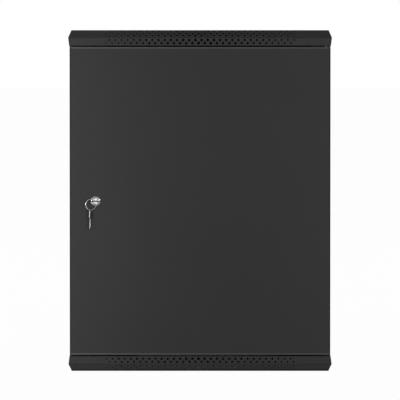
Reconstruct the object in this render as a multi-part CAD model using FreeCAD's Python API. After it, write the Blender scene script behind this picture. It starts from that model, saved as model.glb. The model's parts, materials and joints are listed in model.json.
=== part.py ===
"""Wall-mounted 19-inch network cabinet, 15 rack units, built as separate parts.

Millimetres. X runs to the right, Y to the back (the wall), Z up. The origin is the
centre of the four wall-fixing holes, on the rear face of the rear panel.
"""

import FreeCAD, Part
import math
import os
from FreeCAD import Rotation, Vector

# Rack standard
RACK_UNITS = 15
UNIT_HEIGHT = 44.45
RACK_HOLE_OFFSETS = (6.35, 22.225, 38.1)
RACK_HOLE_SIDE = 9.5
RACK_HOLE_INSET = 7.15
RACK_OPENING = 450.8

# Cabinet round the rack space
CABINET_DEPTH = 450.0
END_HEIGHT = 55.625
RAIL_WIDTH = 31.6
BAR_DEPTH = 25.0
SIDE_RETURN = 12.0
DOOR_OVERHANG = 3.0
VISOR_OVERHANG = 6.0

# Sheet metal
SHEET = 1.2
FRAME_SHEET = 1.5
RAIL_SHEET = 2.0
BRACKET_SHEET = 3.0
BEND = 1.5
CUT_MARGIN = 5.0

# Visors above and below the door
VISOR_RISE = 17.1
VISOR_SLOPE_DEPTH = 22.7
VISOR_FACE = 18.4
VISOR_DEPTH = 26.0
VISOR_BEND = 4.0
VISOR_MOUTH_INSET = 2.3
VISOR_TIP_INSET = 6.7
VISOR_LIP = 14.0

# Perforation of the visors
VENT_PITCH = 14.0
VENT_ROW_STEP = 7.0
VENT_COUNT = 31
VENT_FIRST_ROW = 5.3
VENT_LARGE = 6.5
VENT_SMALL = 3.0
VENT_SIDES = 6
VENT_FACE_ROWS = (0, 1)
VENT_SLOPE_ROWS = (-2, -3, -4)
DUCT_SILL = 3.0

# Door
DOOR_THICKNESS = 18.0
DOOR_SETBACK = 2.0
DOOR_GAP = 2.0
DOOR_BEND = 4.0
DOOR_LIP = 25.0
STIFFENER_WIDTH = 40.0
STIFFENER_FLANGE = 14.0
BUFFER_WIDTH = 8.0
BUFFER_SIDES = 12
BUFFER_INSET = 1.0
BUFFER_LEVEL = 250.0

# Hinge
HINGE_INSET = 11.0
HINGE_SETBACK = 8.0
PIN_RADIUS = 3.0
RUNNING_CLEARANCE = 0.05
PIN_PASSAGE = 0.5
PIN_ENGAGEMENT = 3.4
PIN_TRAVEL = 8.0
COLLAR_RADIUS = 5.0
COLLAR_THICKNESS = 2.0
WASHER_GAP = 0.2
BRACKET_MARGIN = 0.3
BRACKET_LEG = 30.0
SPRING_LENGTH = 22.0
SPRING_WALL = 1.2
SPRING_PLAY = 0.4
SPRING_SIDES = 8
KNOB_LENGTH = 6.0
LOWER_PIN_REACH = 11.0

# Cam locks
KEEPER_INSET = 14.0
LOCK_FACE_RADIUS = 11.0
LOCK_FACE_THICKNESS = 3.0
LOCK_FACE_EDGE = 1.0
LOCK_BARREL_FLATS = 17.0
LOCK_BARREL_SIDES = 8
LOCK_HOLE_PLAY = 0.2
LOCK_NUT_FLATS = 23.0
LOCK_NUT_THICKNESS = 4.5
PLUG_RADIUS = 6.0
PLUG_PROUD = 0.5
PLUG_SQUARE = 8.0
CAM_WIDTH = 14.0
CAM_LENGTH = 35.0
CAM_THICKNESS = 2.5
CAM_CLEARANCE = 0.7
CAM_PLAY = 0.1
CAM_PASSAGE = 2.0
CAM_SCREW_FLATS = 9.0
CAM_SCREW_THICKNESS = 2.5
SIDE_CAM_LENGTH = 20.0
SIDE_CAM_DROP = 24.0
KEEPER_WIDTH = 40.0
KEEPER_DEPTH = 18.0
KEEPER_DROP = 10.0

# Keys
KEY_THICKNESS = 2.2
KEY_BLADE_WIDTH = 8.0
KEY_BLADE_LENGTH = 24.0
KEY_BOW_WIDTH = 18.0
KEY_BOW_LENGTH = 22.0
KEY_BOW_CORNER = 7.0
KEY_SHOULDER_CORNER = 3.5
KEY_HOLE_RADIUS = 3.0
KEY_HOLE_INSET = 4.6
KEY_NOTCHES = 5
KEY_NOTCH_DEPTHS = (1.0, 1.6)
KEY_TIP_CORNER = 2.0
KEY_ROOT_CORNER = 1.0
KEYWAY_PLAY = 0.3
RING_RADIUS = 12.5
RING_WIRE = 1.2
RING_LEAN = 55.0
RING_SLIP = 0.6
RING_PLAY = 0.3
RING_SIDES = 24
SPARE_LEAN = 2.0
SPARE_TWIST = -16.0

# Frame
UPRIGHT_FLANGE = 30.0
UPRIGHT_WEB = 40.0
UPRIGHT_LIP = 10.0
BAR_HEIGHT = 30.0
BAR_LEVEL = 300.0
PANEL_FLANGE = 15.0
PANEL_GAP = 1.5

# Mounting rails
RAIL_WEB = 30.0
RAIL_END_MARGIN = 5.0
FRONT_RAIL_SETBACK = 80.0
REAR_RAIL_SETBACK = 70.0
RAIL_TRAVEL = 80.0
RAIL_BOLT_INSET = 18.0
BOLT_RADIUS = 3.0
BOLT_PLAY = 0.3
BOLT_HEAD_FLATS = 10.0
BOLT_HEAD_THICKNESS = 4.0
BOLT_NUT_THICKNESS = 5.0

# Openings in the shell
WALL_HOLE_RADIUS = 5.0
WALL_HOLE_SPAN_X = 400.0
WALL_HOLE_INSET_Z = 44.0
REAR_ENTRY_WIDTH = 280.0
REAR_ENTRY_HEIGHT = 90.0
REAR_ENTRY_LEVEL = -230.0
REAR_ENTRY_CORNER = 6.0
ENTRY_WIDTH = 300.0
ENTRY_DEPTH = 55.0
ENTRY_SETBACK = 20.0
COVER_MARGIN = 30.0
COVER_EDGE = 8.0
COVER_TRAVEL = 50.0
COVER_STUD_INSET = 15.0
FAN_HOLE_SPAN = 105.0
FAN_HOLE_RADIUS = 2.2
FAN_RADIUS = 55.0
FAN_OFFSET = 120.0
FAN_SLOT = 10.0
FAN_SLOT_PITCH = 20.0
FAN_RIB = 8.0
EARTH_FLATS = 6.0
EARTH_LENGTH = 16.0

# Worked out from the sizes above
RAIL_EDGE = RACK_OPENING / 2
RAIL_SIDE = RAIL_EDGE + RAIL_WIDTH
RAIL_END = RACK_UNITS * UNIT_HEIGHT / 2 + RAIL_END_MARGIN
FRAME_SIDE = RAIL_SIDE + BAR_DEPTH
SIDE = FRAME_SIDE + SIDE_RETURN
DOOR_SIDE = SIDE + DOOR_OVERHANG
VISOR_SIDE = SIDE + VISOR_OVERHANG
FRONT = -CABINET_DEPTH
FRAME_FRONT = FRONT + VISOR_DEPTH
TOP = RACK_UNITS * UNIT_HEIGHT / 2 + END_HEIGHT
CEILING = TOP - SHEET
CREASE = TOP - VISOR_RISE
MOUTH = CREASE - VISOR_FACE
DOOR_TOP = MOUTH - DOOR_GAP
DOOR_FRONT = FRONT + DOOR_SETBACK
DOOR_BACK = DOOR_FRONT + DOOR_THICKNESS
HINGE_X = DOOR_SIDE - HINGE_INSET
HINGE_Y = DOOR_FRONT + HINGE_SETBACK
UPRIGHT_EDGE = FRAME_SIDE - UPRIGHT_FLANGE
LOCK_X = KEEPER_INSET - UPRIGHT_EDGE
PANEL_END = TOP - PANEL_FLANGE - PANEL_GAP
BAR_LOW = BAR_LEVEL - BAR_HEIGHT / 2
BAR_HIGH = BAR_LEVEL + BAR_HEIGHT / 2

PLANES = {
    "xy": (Vector(1, 0, 0), Vector(0, 1, 0), Vector(0, 0, 1)),
    "xz": (Vector(1, 0, 0), Vector(0, 0, 1), Vector(0, 1, 0)),
    "yz": (Vector(0, 1, 0), Vector(0, 0, 1), Vector(1, 0, 0)),
}


def block(x0, x1, y0, y1, z0, z1):
    """Box between two corners."""
    return Part.makeBox(x1 - x0, y1 - y0, z1 - z0, Vector(x0, y0, z0))


def rod(radius, start, direction, length):
    """Solid cylinder from a start point along a direction."""
    return Part.makeCylinder(radius, length, start, direction)


def mirror_x(shape):
    """The same piece on the other side of the cabinet."""
    return shape.mirror(Vector(0, 0, 0), Vector(1, 0, 0))


def mirror_y(shape, level):
    """The same piece turned front to back about a plane across the depth."""
    return shape.mirror(Vector(0, level, 0), Vector(0, 1, 0))


def mirror_z(shape):
    """The same piece at the other end of the cabinet's height."""
    return shape.mirror(Vector(0, 0, 0), Vector(0, 0, 1))


def corner_arc(before, corner, after, radius):
    """First tangent point, middle and last tangent point of the arc that rounds a corner."""
    back = (before - corner).normalize()
    ahead = (after - corner).normalize()
    half_angle = back.getAngle(ahead) / 2
    reach = radius / math.tan(half_angle)
    bisector = (back + ahead).normalize()
    middle = corner + bisector * (radius / math.sin(half_angle) - radius)
    return corner + back * reach, middle, corner + ahead * reach


def profile(corners, plane, level, length):
    """Solid of a closed outline of (u, v, corner radius), extruded from a level of the plane."""
    across, up, normal = PLANES[plane]
    points = [across * u + up * v + normal * level for u, v, _ in corners]
    edges = []
    ends = []
    for index, (_, _, radius) in enumerate(corners):
        point = points[index]
        if radius > 0:
            after = points[(index + 1) % len(points)]
            first, middle, last = corner_arc(points[index - 1], point, after, radius)
            edges.append(Part.Arc(first, middle, last).toShape())
            ends.append((first, last))
        else:
            ends.append((point, point))
    for index, (_, last) in enumerate(ends):
        first_of_next = ends[(index + 1) % len(ends)][0]
        if last.distanceToPoint(first_of_next) > 1e-6:
            edges.append(Part.LineSegment(last, first_of_next).toShape())
    wire = Part.Wire(Part.__sortEdges__(edges))
    return Part.Face(wire).extrude(normal * length)


def offset_path(path, distance):
    """Open or closed run of points moved to its left by a distance, mitred at each turn."""
    moved = []
    for index, (u, v) in enumerate(path):
        before = path[max(index - 1, 0)]
        after = path[min(index + 1, len(path) - 1)]
        legs = [leg for leg in ((before, (u, v)), ((u, v), after)) if leg[0] != leg[1]]
        normals = []
        for (u0, v0), (u1, v1) in legs:
            run = math.hypot(u1 - u0, v1 - v0)
            normals.append(((v0 - v1) / run, (u1 - u0) / run))
        total = (sum(n[0] for n in normals), sum(n[1] for n in normals))
        scale = distance * len(normals) / (total[0] ** 2 + total[1] ** 2)
        moved.append((u + total[0] * scale, v + total[1] * scale))
    return moved


def folded_sheet(path, thickness, plane, level, length):
    """Sheet folded along a path of its right-hand face, with bends of the common radius."""
    turns = [0.0]
    for before, here, after in zip(path, path[1:], path[2:]):
        rise = (here[0] - before[0]) * (after[1] - here[1])
        fall = (here[1] - before[1]) * (after[0] - here[0])
        turns.append(math.copysign(1.0, rise - fall))
    turns.append(0.0)
    near = [(u, v, BEND + (thickness if turn > 0 else 0.0) if turn else 0.0)
            for (u, v), turn in zip(path, turns)]
    far = [(u, v, BEND + (thickness if turn < 0 else 0.0) if turn else 0.0)
           for (u, v), turn in zip(offset_path(path, thickness), turns)]
    return profile(near + far[::-1], plane, level, length)


def regular_prism(flats, sides, centre, direction, length):
    """Prism with a regular outline, given by its width across flats, standing on a flat."""
    radius = flats / 2 / math.cos(math.pi / sides)
    points = []
    for index in range(sides + 1):
        angle = 2 * math.pi * (index + 0.5) / sides
        points.append(Vector(radius * math.cos(angle), radius * math.sin(angle), 0))
    shape = Part.Face(Part.makePolygon(points)).extrude(Vector(0, 0, length))
    shape.Placement = FreeCAD.Placement(centre, Rotation(Vector(0, 0, 1), direction))
    return shape


def tube(outer, inner, sides, start, direction, length):
    """Ring or sleeve of few sides, given by its outer and inner radius."""
    hole = regular_prism(2 * inner, sides, start, direction, length)
    return regular_prism(2 * outer, sides, start, direction, length).cut(hole)


def square_neck(start, direction, length):
    """Square neck of a bolt, as wide as its thread."""
    return regular_prism(2 * BOLT_RADIUS, 4, start, direction, length)


# ---------------------------------------------------------------- visors

def visor_block(inset):
    """Closed block of the visor's outline, set in by a sheet for the hollow."""
    half_mouth = VISOR_SIDE - VISOR_MOUTH_INSET
    half_tip = VISOR_SIDE - VISOR_TIP_INSET
    side = [(FRAME_FRONT, MOUTH), (FRONT, MOUTH), (FRONT, CREASE),
            (FRONT + VISOR_SLOPE_DEPTH, TOP), (FRAME_FRONT, TOP)]
    end = [(half_mouth, MOUTH - VISOR_FACE), (half_mouth, MOUTH), (VISOR_SIDE, CREASE),
           (half_tip, TOP), (half_tip, TOP + VISOR_RISE)]
    if inset:
        side = offset_path(side, -inset)
        side[0] = (FRAME_FRONT + CUT_MARGIN, side[0][1])
        side[-1] = (FRAME_FRONT + CUT_MARGIN, side[-1][1])
        end = offset_path(end, inset)
    outline = [(x, z, 0) for x, z in end] + [(-x, z, 0) for x, z in end[::-1]]
    hood = profile([(y, z, 0) for y, z in side], "yz", -VISOR_SIDE - CUT_MARGIN,
                   2 * (VISOR_SIDE + CUT_MARGIN))
    solid = hood.common(profile(outline, "xz", FRONT - CUT_MARGIN, CABINET_DEPTH))
    rear = FRONT + VISOR_SLOPE_DEPTH + inset
    bends = [edge for edge in solid.Edges
             if edge.BoundBox.XLength > SIDE and edge.BoundBox.YMax < rear]
    return solid.makeFillet(VISOR_BEND - inset, bends)


def vent_diameter(x):
    """Hole size across the row: its area falls evenly from the middle to the ends."""
    end = VENT_PITCH * (VENT_COUNT - 0.5) / 2
    area = VENT_LARGE ** 2 - (VENT_LARGE ** 2 - VENT_SMALL ** 2) * min(abs(x) / end, 1)
    return math.sqrt(area)


def vent_cutters(rows, foot, run, normal):
    """Punches for some rows of the staggered vent field on one flat of the visor."""
    cutters = []
    for row in rows:
        distance = VENT_FIRST_ROW + VENT_ROW_STEP * row
        shift = VENT_PITCH / 4 * (1 if row % 2 == 0 else -1)
        for index in range(VENT_COUNT):
            x = (index - (VENT_COUNT - 1) / 2) * VENT_PITCH + shift
            centre = Vector(x, 0, 0) + foot - run * distance - normal * (CUT_MARGIN / 2)
            cutters.append(regular_prism(vent_diameter(x), VENT_SIDES, centre, normal, CUT_MARGIN))
    return cutters


def vent_duct():
    """Cutter for the long opening through which the vents breathe into the cabinet."""
    half = VENT_PITCH * VENT_COUNT / 2
    return block(-half, half, FRAME_FRONT - 2 * SHEET, FRAME_FRONT + 2 * SHEET,
                 MOUTH + DUCT_SILL, CEILING - DUCT_SILL)


def top_visor():
    """Folded hood above the door, perforated across its face and slope."""
    hood = visor_block(0).cut(visor_block(SHEET))
    lip = block(-SIDE, SIDE, FRAME_FRONT - SHEET, FRAME_FRONT, MOUTH, MOUTH + VISOR_LIP)
    lip = lip.cut(vent_duct())
    hood = hood.fuse(lip).removeSplitter()
    foot = Vector(0, FRONT, CREASE)
    slope = Vector(0, VISOR_SLOPE_DEPTH, VISOR_RISE).normalize()
    slope_normal = Vector(0, VISOR_RISE, -VISOR_SLOPE_DEPTH).normalize()
    punches = vent_cutters(VENT_FACE_ROWS, foot, Vector(0, 0, 1), Vector(0, 1, 0))
    punches += vent_cutters(VENT_SLOPE_ROWS, foot, slope, slope_normal)
    punches.append(rod(PIN_RADIUS + RUNNING_CLEARANCE, Vector(HINGE_X, HINGE_Y, MOUTH - SHEET),
                       Vector(0, 0, 1), 3 * SHEET))
    return hood.cut(Part.makeCompound(punches))


# ---------------------------------------------------------------- shell

def fan_cutters(centre_x):
    """Slotted air outlet and screw holes for one fan in the top panel."""
    centre_y = FRONT / 2
    below = CEILING - SHEET
    above = TOP + SHEET
    cutters = []
    count = int(FAN_RADIUS / FAN_SLOT_PITCH)
    for index in range(-count, count + 1):
        offset = index * FAN_SLOT_PITCH
        half = math.sqrt(FAN_RADIUS ** 2 - offset ** 2) - FAN_SLOT / 2
        y = centre_y + offset
        for side in (-1, 1):
            near, far = sorted((centre_x + side * FAN_RIB / 2, centre_x + side * half))
            cutters.append(block(near, far, y - FAN_SLOT / 2, y + FAN_SLOT / 2, below, above))
    for dx in (-FAN_HOLE_SPAN / 2, FAN_HOLE_SPAN / 2):
        for dy in (-FAN_HOLE_SPAN / 2, FAN_HOLE_SPAN / 2):
            cutters.append(rod(FAN_HOLE_RADIUS, Vector(centre_x + dx, centre_y + dy, below),
                               Vector(0, 0, 1), above - below))
    return cutters


def end_panel():
    """Top panel: side flanges, front header with the vents' duct, and rear cable entry."""
    section = [(-SIDE, TOP - PANEL_FLANGE), (-SIDE, TOP), (SIDE, TOP), (SIDE, TOP - PANEL_FLANGE)]
    panel = folded_sheet(section[::-1], SHEET, "xz", FRAME_FRONT, -FRAME_FRONT)
    header = block(-UPRIGHT_EDGE, UPRIGHT_EDGE, FRAME_FRONT, FRAME_FRONT + SHEET, MOUTH, CEILING)
    entry = block(-ENTRY_WIDTH / 2, ENTRY_WIDTH / 2, -ENTRY_SETBACK - ENTRY_DEPTH, -ENTRY_SETBACK,
                  CEILING - SHEET, TOP + SHEET)
    return panel.fuse(header.cut(vent_duct())).removeSplitter().cut(entry)


def top_panel():
    """Top panel with its two fan outlets."""
    cutters = fan_cutters(-FAN_OFFSET) + fan_cutters(FAN_OFFSET)
    return end_panel().cut(Part.makeCompound(cutters))


def cover_stud_places():
    """Plan positions of the studs that hold a sliding cable cover."""
    x = ENTRY_WIDTH / 2 + COVER_MARGIN - COVER_STUD_INSET
    y = -ENTRY_SETBACK - ENTRY_DEPTH
    return [(-x, y), (x, y)]


def cable_cover():
    """Flat cover under the top cable entry, with a slot for each stud."""
    half = ENTRY_WIDTH / 2 + COVER_MARGIN
    front = -ENTRY_SETBACK - ENTRY_DEPTH - COVER_MARGIN + COVER_EDGE
    cover = block(-half, half, front, -ENTRY_SETBACK + COVER_EDGE, CEILING - SHEET, CEILING)
    side = BOLT_RADIUS + BOLT_PLAY
    for x, y in cover_stud_places():
        slot = block(x - side, x + side, y - side, y + COVER_TRAVEL + side,
                     CEILING - 2 * SHEET, CEILING + SHEET)
        cover = cover.cut(slot)
    return cover


def cover_studs():
    """Welded studs and nuts that clamp the top cable cover."""
    pieces = []
    for x, y in cover_stud_places():
        length = SHEET + BOLT_NUT_THICKNESS
        stud = square_neck(Vector(x, y, CEILING - length), Vector(0, 0, 1), length)
        nut = regular_prism(BOLT_HEAD_FLATS, 6, Vector(x, y, CEILING - SHEET - BOLT_NUT_THICKNESS),
                            Vector(0, 0, 1), BOLT_NUT_THICKNESS)
        pieces += [stud, nut.cut(stud)]
    return Part.makeCompound(pieces)


def rear_panel():
    """Rear panel with wall-fixing holes, an open cable entry and side flanges."""
    section = [(SIDE, -PANEL_FLANGE), (SIDE, 0), (-SIDE, 0), (-SIDE, -PANEL_FLANGE)]
    panel = folded_sheet(section, FRAME_SHEET, "xy", -PANEL_END, 2 * PANEL_END)
    tongue = block(-FRAME_SIDE, FRAME_SIDE, -FRAME_SHEET, 0, -CEILING, CEILING)
    panel = panel.fuse(tongue).removeSplitter()
    start = -2 * FRAME_SHEET
    length = 3 * FRAME_SHEET
    cutters = []
    for x in (-WALL_HOLE_SPAN_X / 2, WALL_HOLE_SPAN_X / 2):
        for z in (WALL_HOLE_INSET_Z - TOP, TOP - WALL_HOLE_INSET_Z):
            cutters.append(rod(WALL_HOLE_RADIUS, Vector(x, start, z), Vector(0, 1, 0), length))
    half = REAR_ENTRY_WIDTH / 2
    low = REAR_ENTRY_LEVEL - REAR_ENTRY_HEIGHT / 2
    high = REAR_ENTRY_LEVEL + REAR_ENTRY_HEIGHT / 2
    entry = [(x, z, REAR_ENTRY_CORNER)
             for x, z in ((-half, low), (half, low), (half, high), (-half, high))]
    cutters.append(profile(entry, "xz", start, length))
    return panel.cut(Part.makeCompound(cutters))


def side_panel():
    """Right side panel: a shallow tray with returns all round and a lock hole."""
    rear = -PANEL_FLANGE - PANEL_GAP
    tray = block(FRAME_SIDE, SIDE, FRAME_FRONT, rear, -PANEL_END, PANEL_END)
    edges = [edge for edge in tray.Edges if edge.BoundBox.XMin > SIDE - SHEET]
    tray = tray.makeFillet(BEND + SHEET, edges)
    hollow = block(FRAME_SIDE - CUT_MARGIN, SIDE - SHEET, FRAME_FRONT + SHEET, rear - SHEET,
                   SHEET - PANEL_END, PANEL_END - SHEET)
    edges = [edge for edge in hollow.Edges if edge.BoundBox.XMin > SIDE - 2 * SHEET]
    tray = tray.cut(hollow.makeFillet(BEND, edges))
    x, y, z = side_lock_place()
    return tray.cut(turned(lock_hole(), x, y, z, 90))


# ---------------------------------------------------------------- frame

def front_upright():
    """Right front upright: a folded section with an inner lip."""
    path = [(UPRIGHT_EDGE, FRAME_FRONT + UPRIGHT_LIP), (UPRIGHT_EDGE, FRAME_FRONT),
            (FRAME_SIDE, FRAME_FRONT), (FRAME_SIDE, FRAME_FRONT + UPRIGHT_WEB)]
    return folded_sheet(path, FRAME_SHEET, "xy", -CEILING, 2 * CEILING)


def cam_notch():
    """Cutter that lets the door lock's cam pass the right front upright's lip."""
    return block(UPRIGHT_EDGE - CUT_MARGIN, UPRIGHT_EDGE + 2 * BEND + FRAME_SHEET,
                 FRAME_FRONT + FRAME_SHEET, FRAME_FRONT + UPRIGHT_LIP + CUT_MARGIN,
                 -CAM_LENGTH - CAM_PASSAGE, CAM_WIDTH / 2 + CAM_PASSAGE)


def rear_upright():
    """Rear upright: the front one turned round, standing against the rear panel."""
    return mirror_y(front_upright(), (FRAME_FRONT - FRAME_SHEET) / 2)


def side_bar():
    """Upper right side bar: a channel between the uprights, slotted for the rails."""
    outer = FRAME_SIDE - FRAME_SHEET
    inner = RAIL_SIDE + FRAME_SHEET
    path = [(outer, BAR_LOW), (inner, BAR_LOW), (inner, BAR_HIGH), (outer, BAR_HIGH)]
    front = FRAME_FRONT + FRAME_SHEET + BEND
    length = -2 * FRAME_SHEET - BEND - front
    bar = folded_sheet(path, FRAME_SHEET, "xz", front, length)
    side = BOLT_RADIUS + BOLT_PLAY
    first = FRAME_FRONT + rail_setback() + RAIL_BOLT_INSET
    last = -REAR_RAIL_SETBACK - RAIL_BOLT_INSET
    for start, end in ((first, first + RAIL_TRAVEL), (last - RAIL_TRAVEL, last)):
        slot = block(RAIL_SIDE - FRAME_SHEET, RAIL_SIDE + 2 * FRAME_SHEET, start - side, end + side,
                     BAR_LEVEL - side, BAR_LEVEL + side)
        bar = bar.cut(slot)
    return bar


def side_lock_keeper():
    """Angle under the upper right side bar, which the side lock's cam turns behind."""
    _, centre, _ = side_lock_place()
    top = BAR_LOW - FRAME_SHEET
    outer = FRAME_SIDE - FRAME_SHEET
    path = [(outer, top - KEEPER_DROP), (outer, top), (outer - KEEPER_DEPTH, top)]
    return folded_sheet(path, FRAME_SHEET, "xz", centre - KEEPER_WIDTH / 2, KEEPER_WIDTH)


def rail_setback():
    """Distance of the front rails' face behind the frame's front."""
    return FRONT_RAIL_SETBACK - VISOR_DEPTH


def rack_hole_levels():
    """Heights of the mounting holes, three in each rack unit."""
    bottom = -RACK_UNITS * UNIT_HEIGHT / 2
    return [bottom + unit * UNIT_HEIGHT + offset
            for unit in range(RACK_UNITS) for offset in RACK_HOLE_OFFSETS]


def mounting_rail():
    """Right front mounting rail: an angle with three square holes in each rack unit."""
    face = FRONT + FRONT_RAIL_SETBACK
    path = [(RAIL_EDGE, face), (RAIL_SIDE, face), (RAIL_SIDE, face + RAIL_WEB)]
    rail = folded_sheet(path, RAIL_SHEET, "xy", -RAIL_END, 2 * RAIL_END)
    half = RACK_HOLE_SIDE / 2
    centre = RAIL_EDGE + RACK_HOLE_INSET
    holes = [block(centre - half, centre + half, face - RAIL_SHEET, face + 2 * RAIL_SHEET,
                   z - half, z + half) for z in rack_hole_levels()]
    side = BOLT_RADIUS + BOLT_PLAY
    y = face + RAIL_BOLT_INSET
    for z in (-BAR_LEVEL, BAR_LEVEL):
        holes.append(block(RAIL_SIDE - 2 * RAIL_SHEET, RAIL_SIDE + RAIL_SHEET, y - side, y + side,
                           z - side, z + side))
    return rail.cut(Part.makeCompound(holes))


def rail_bolts():
    """Bolts and nuts that clamp the right front rail to the side bars."""
    y = FRONT + FRONT_RAIL_SETBACK + RAIL_BOLT_INSET
    inner = RAIL_SIDE - RAIL_SHEET
    outer = RAIL_SIDE + FRAME_SHEET
    pieces = []
    for z in (-BAR_LEVEL, BAR_LEVEL):
        head = regular_prism(BOLT_HEAD_FLATS, 6, Vector(inner - BOLT_HEAD_THICKNESS, y, z),
                             Vector(1, 0, 0), BOLT_HEAD_THICKNESS)
        neck = square_neck(Vector(inner, y, z), Vector(1, 0, 0), outer + BOLT_NUT_THICKNESS - inner)
        nut = regular_prism(BOLT_HEAD_FLATS, 6, Vector(outer, y, z), Vector(1, 0, 0),
                            BOLT_NUT_THICKNESS)
        pieces += [head.fuse(neck), nut.cut(neck)]
    return Part.makeCompound(pieces)


# ---------------------------------------------------------------- door

def door_panel():
    """One-piece folded door with lips at the back and holes for lock and hinge pins."""
    outer = block(-DOOR_SIDE, DOOR_SIDE, DOOR_FRONT, DOOR_BACK, -DOOR_TOP, DOOR_TOP)
    edges = [edge for edge in outer.Edges if edge.BoundBox.YMax < DOOR_FRONT + SHEET]
    outer = outer.makeFillet(DOOR_BEND, edges)
    half = DOOR_SIDE - SHEET
    top = DOOR_TOP - SHEET
    hollow = block(-half, half, DOOR_FRONT + SHEET, DOOR_BACK - SHEET, -top, top)
    edges = [edge for edge in hollow.Edges if edge.BoundBox.YMax < DOOR_FRONT + 2 * SHEET]
    door = outer.cut(hollow.makeFillet(DOOR_BEND - SHEET, edges))
    half = DOOR_SIDE - DOOR_LIP
    top = DOOR_TOP - DOOR_LIP
    cutters = [block(-half, half, DOOR_BACK - 2 * SHEET, DOOR_BACK + SHEET, -top, top)]
    for level in (-DOOR_TOP, DOOR_TOP):
        cutters.append(rod(PIN_RADIUS + PIN_PASSAGE, Vector(HINGE_X, HINGE_Y, level - 2 * SHEET),
                           Vector(0, 0, 1), 4 * SHEET))
    hole = lock_hole()
    hole.translate(Vector(LOCK_X, DOOR_FRONT, 0))
    return door.cut(Part.makeCompound(cutters + [hole]))


def door_stiffener():
    """Vertical hat section welded to the middle of the door's inner face."""
    inner = DOOR_FRONT + SHEET
    depth = DOOR_THICKNESS - 2 * SHEET
    half = STIFFENER_WIDTH / 2
    path = [(-half - STIFFENER_FLANGE, inner), (-half, inner), (-half, inner + depth),
            (half, inner + depth), (half, inner), (half + STIFFENER_FLANGE, inner)]
    end = DOOR_TOP - DOOR_LIP
    return folded_sheet(path, SHEET, "xy", -end, 2 * end)


def lower_hinge_bracket():
    """Angle bracket in the door's lower hinge corner, bored for the fixed pin."""
    right = DOOR_SIDE - SHEET
    floor = SHEET - DOOR_TOP
    path = [(HINGE_X - HINGE_INSET, floor), (right, floor), (right, floor + BRACKET_LEG)]
    return hinge_bracket(path)


def upper_hinge_bracket():
    """Channel bracket in the door's upper hinge corner, guiding the sprung pin."""
    left = HINGE_X - HINGE_INSET
    right = DOOR_SIDE - SHEET
    roof = DOOR_TOP - SHEET
    foot = spring_foot() - BRACKET_SHEET
    return hinge_bracket([(left, foot), (right, foot), (right, roof), (left, roof)])


def hinge_bracket(path):
    """Bracket folded along a path in the door's hinge corner, with the pin's bore."""
    front = DOOR_FRONT + DOOR_BEND
    width = DOOR_THICKNESS - SHEET - DOOR_BEND - BRACKET_MARGIN
    bracket = folded_sheet(path, BRACKET_SHEET, "xz", front, width)
    bore = rod(PIN_RADIUS + RUNNING_CLEARANCE, Vector(HINGE_X, HINGE_Y, -TOP), Vector(0, 0, 1), 2 * TOP)
    return bracket.cut(bore)


def spring_foot():
    """Height of the face that the hinge spring stands on."""
    return DOOR_TOP - SHEET - BRACKET_SHEET - SPRING_LENGTH - COLLAR_THICKNESS - PIN_TRAVEL


def stepped_pin(steps):
    """Turned pin on the hinge axis from (radius, low, high) steps."""
    pin = None
    for radius, low, high in steps:
        step = rod(radius, Vector(HINGE_X, HINGE_Y, low), Vector(0, 0, 1), high - low)
        pin = step if pin is None else pin.fuse(step)
    return pin.removeSplitter()


def lower_hinge_pin():
    """Fixed pin with a washer collar, standing in the lower visor's shelf."""
    washer_top = -DOOR_TOP - WASHER_GAP
    return stepped_pin([(PIN_RADIUS, -MOUTH - PIN_ENGAGEMENT, -DOOR_TOP + LOWER_PIN_REACH),
                        (COLLAR_RADIUS, -MOUTH, washer_top)])


def upper_hinge_pin():
    """Sprung pin that is pulled down by its knob to free the door."""
    foot = spring_foot()
    collar = foot + SPRING_LENGTH
    knob_top = foot - BRACKET_SHEET - KNOB_LENGTH
    return stepped_pin([(PIN_RADIUS, knob_top - KNOB_LENGTH, MOUTH + SHEET + PIN_ENGAGEMENT),
                        (COLLAR_RADIUS, collar, collar + COLLAR_THICKNESS),
                        (COLLAR_RADIUS, knob_top - KNOB_LENGTH, knob_top)])


def hinge_spring():
    """Sleeve with the outer size of the compression spring round the pin."""
    inner = PIN_RADIUS + SPRING_PLAY
    outer = inner + SPRING_WALL
    start = Vector(HINGE_X, HINGE_Y, spring_foot())
    return tube(outer, inner, SPRING_SIDES, start, Vector(0, 0, 1), SPRING_LENGTH)


def door_buffers():
    """Rubber stops on the left upright, under the door's lip."""
    x = DOOR_LIP - DOOR_SIDE - BUFFER_WIDTH / 2 - BUFFER_INSET
    length = FRAME_FRONT - DOOR_BACK
    return Part.makeCompound([regular_prism(BUFFER_WIDTH, BUFFER_SIDES, Vector(x, DOOR_BACK, z),
                                            Vector(0, 1, 0), length)
                              for z in (-BUFFER_LEVEL, BUFFER_LEVEL)])


# ---------------------------------------------------------------- locks and keys

def lock_barrel(flats, start, length):
    """Eight-sided barrel along Y, through the panel and the nut."""
    return regular_prism(flats, LOCK_BARREL_SIDES, Vector(0, start, 0), Vector(0, 1, 0), length)


def lock_hole():
    """Cutter for a lock's hole, at the origin, through a sheet whose face is at zero."""
    return lock_barrel(LOCK_BARREL_FLATS + 2 * LOCK_HOLE_PLAY, -SHEET, 3 * SHEET)


def lock_body(reach):
    """Lock housing with its round face at the origin, facing the front."""
    front = -LOCK_FACE_THICKNESS
    face = rod(LOCK_FACE_RADIUS, Vector(0, front, 0), Vector(0, 1, 0), LOCK_FACE_THICKNESS)
    rim = [edge for edge in face.Edges if edge.BoundBox.YMax < front + LOCK_FACE_EDGE]
    face = face.makeChamfer(LOCK_FACE_EDGE, rim)
    barrel = lock_barrel(LOCK_BARREL_FLATS, 0, reach - CAM_CLEARANCE)
    bore = rod(PLUG_RADIUS + RUNNING_CLEARANCE, Vector(0, 2 * front, 0), Vector(0, 1, 0),
               reach - 2 * front)
    return face.fuse(barrel).cut(bore)


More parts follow.
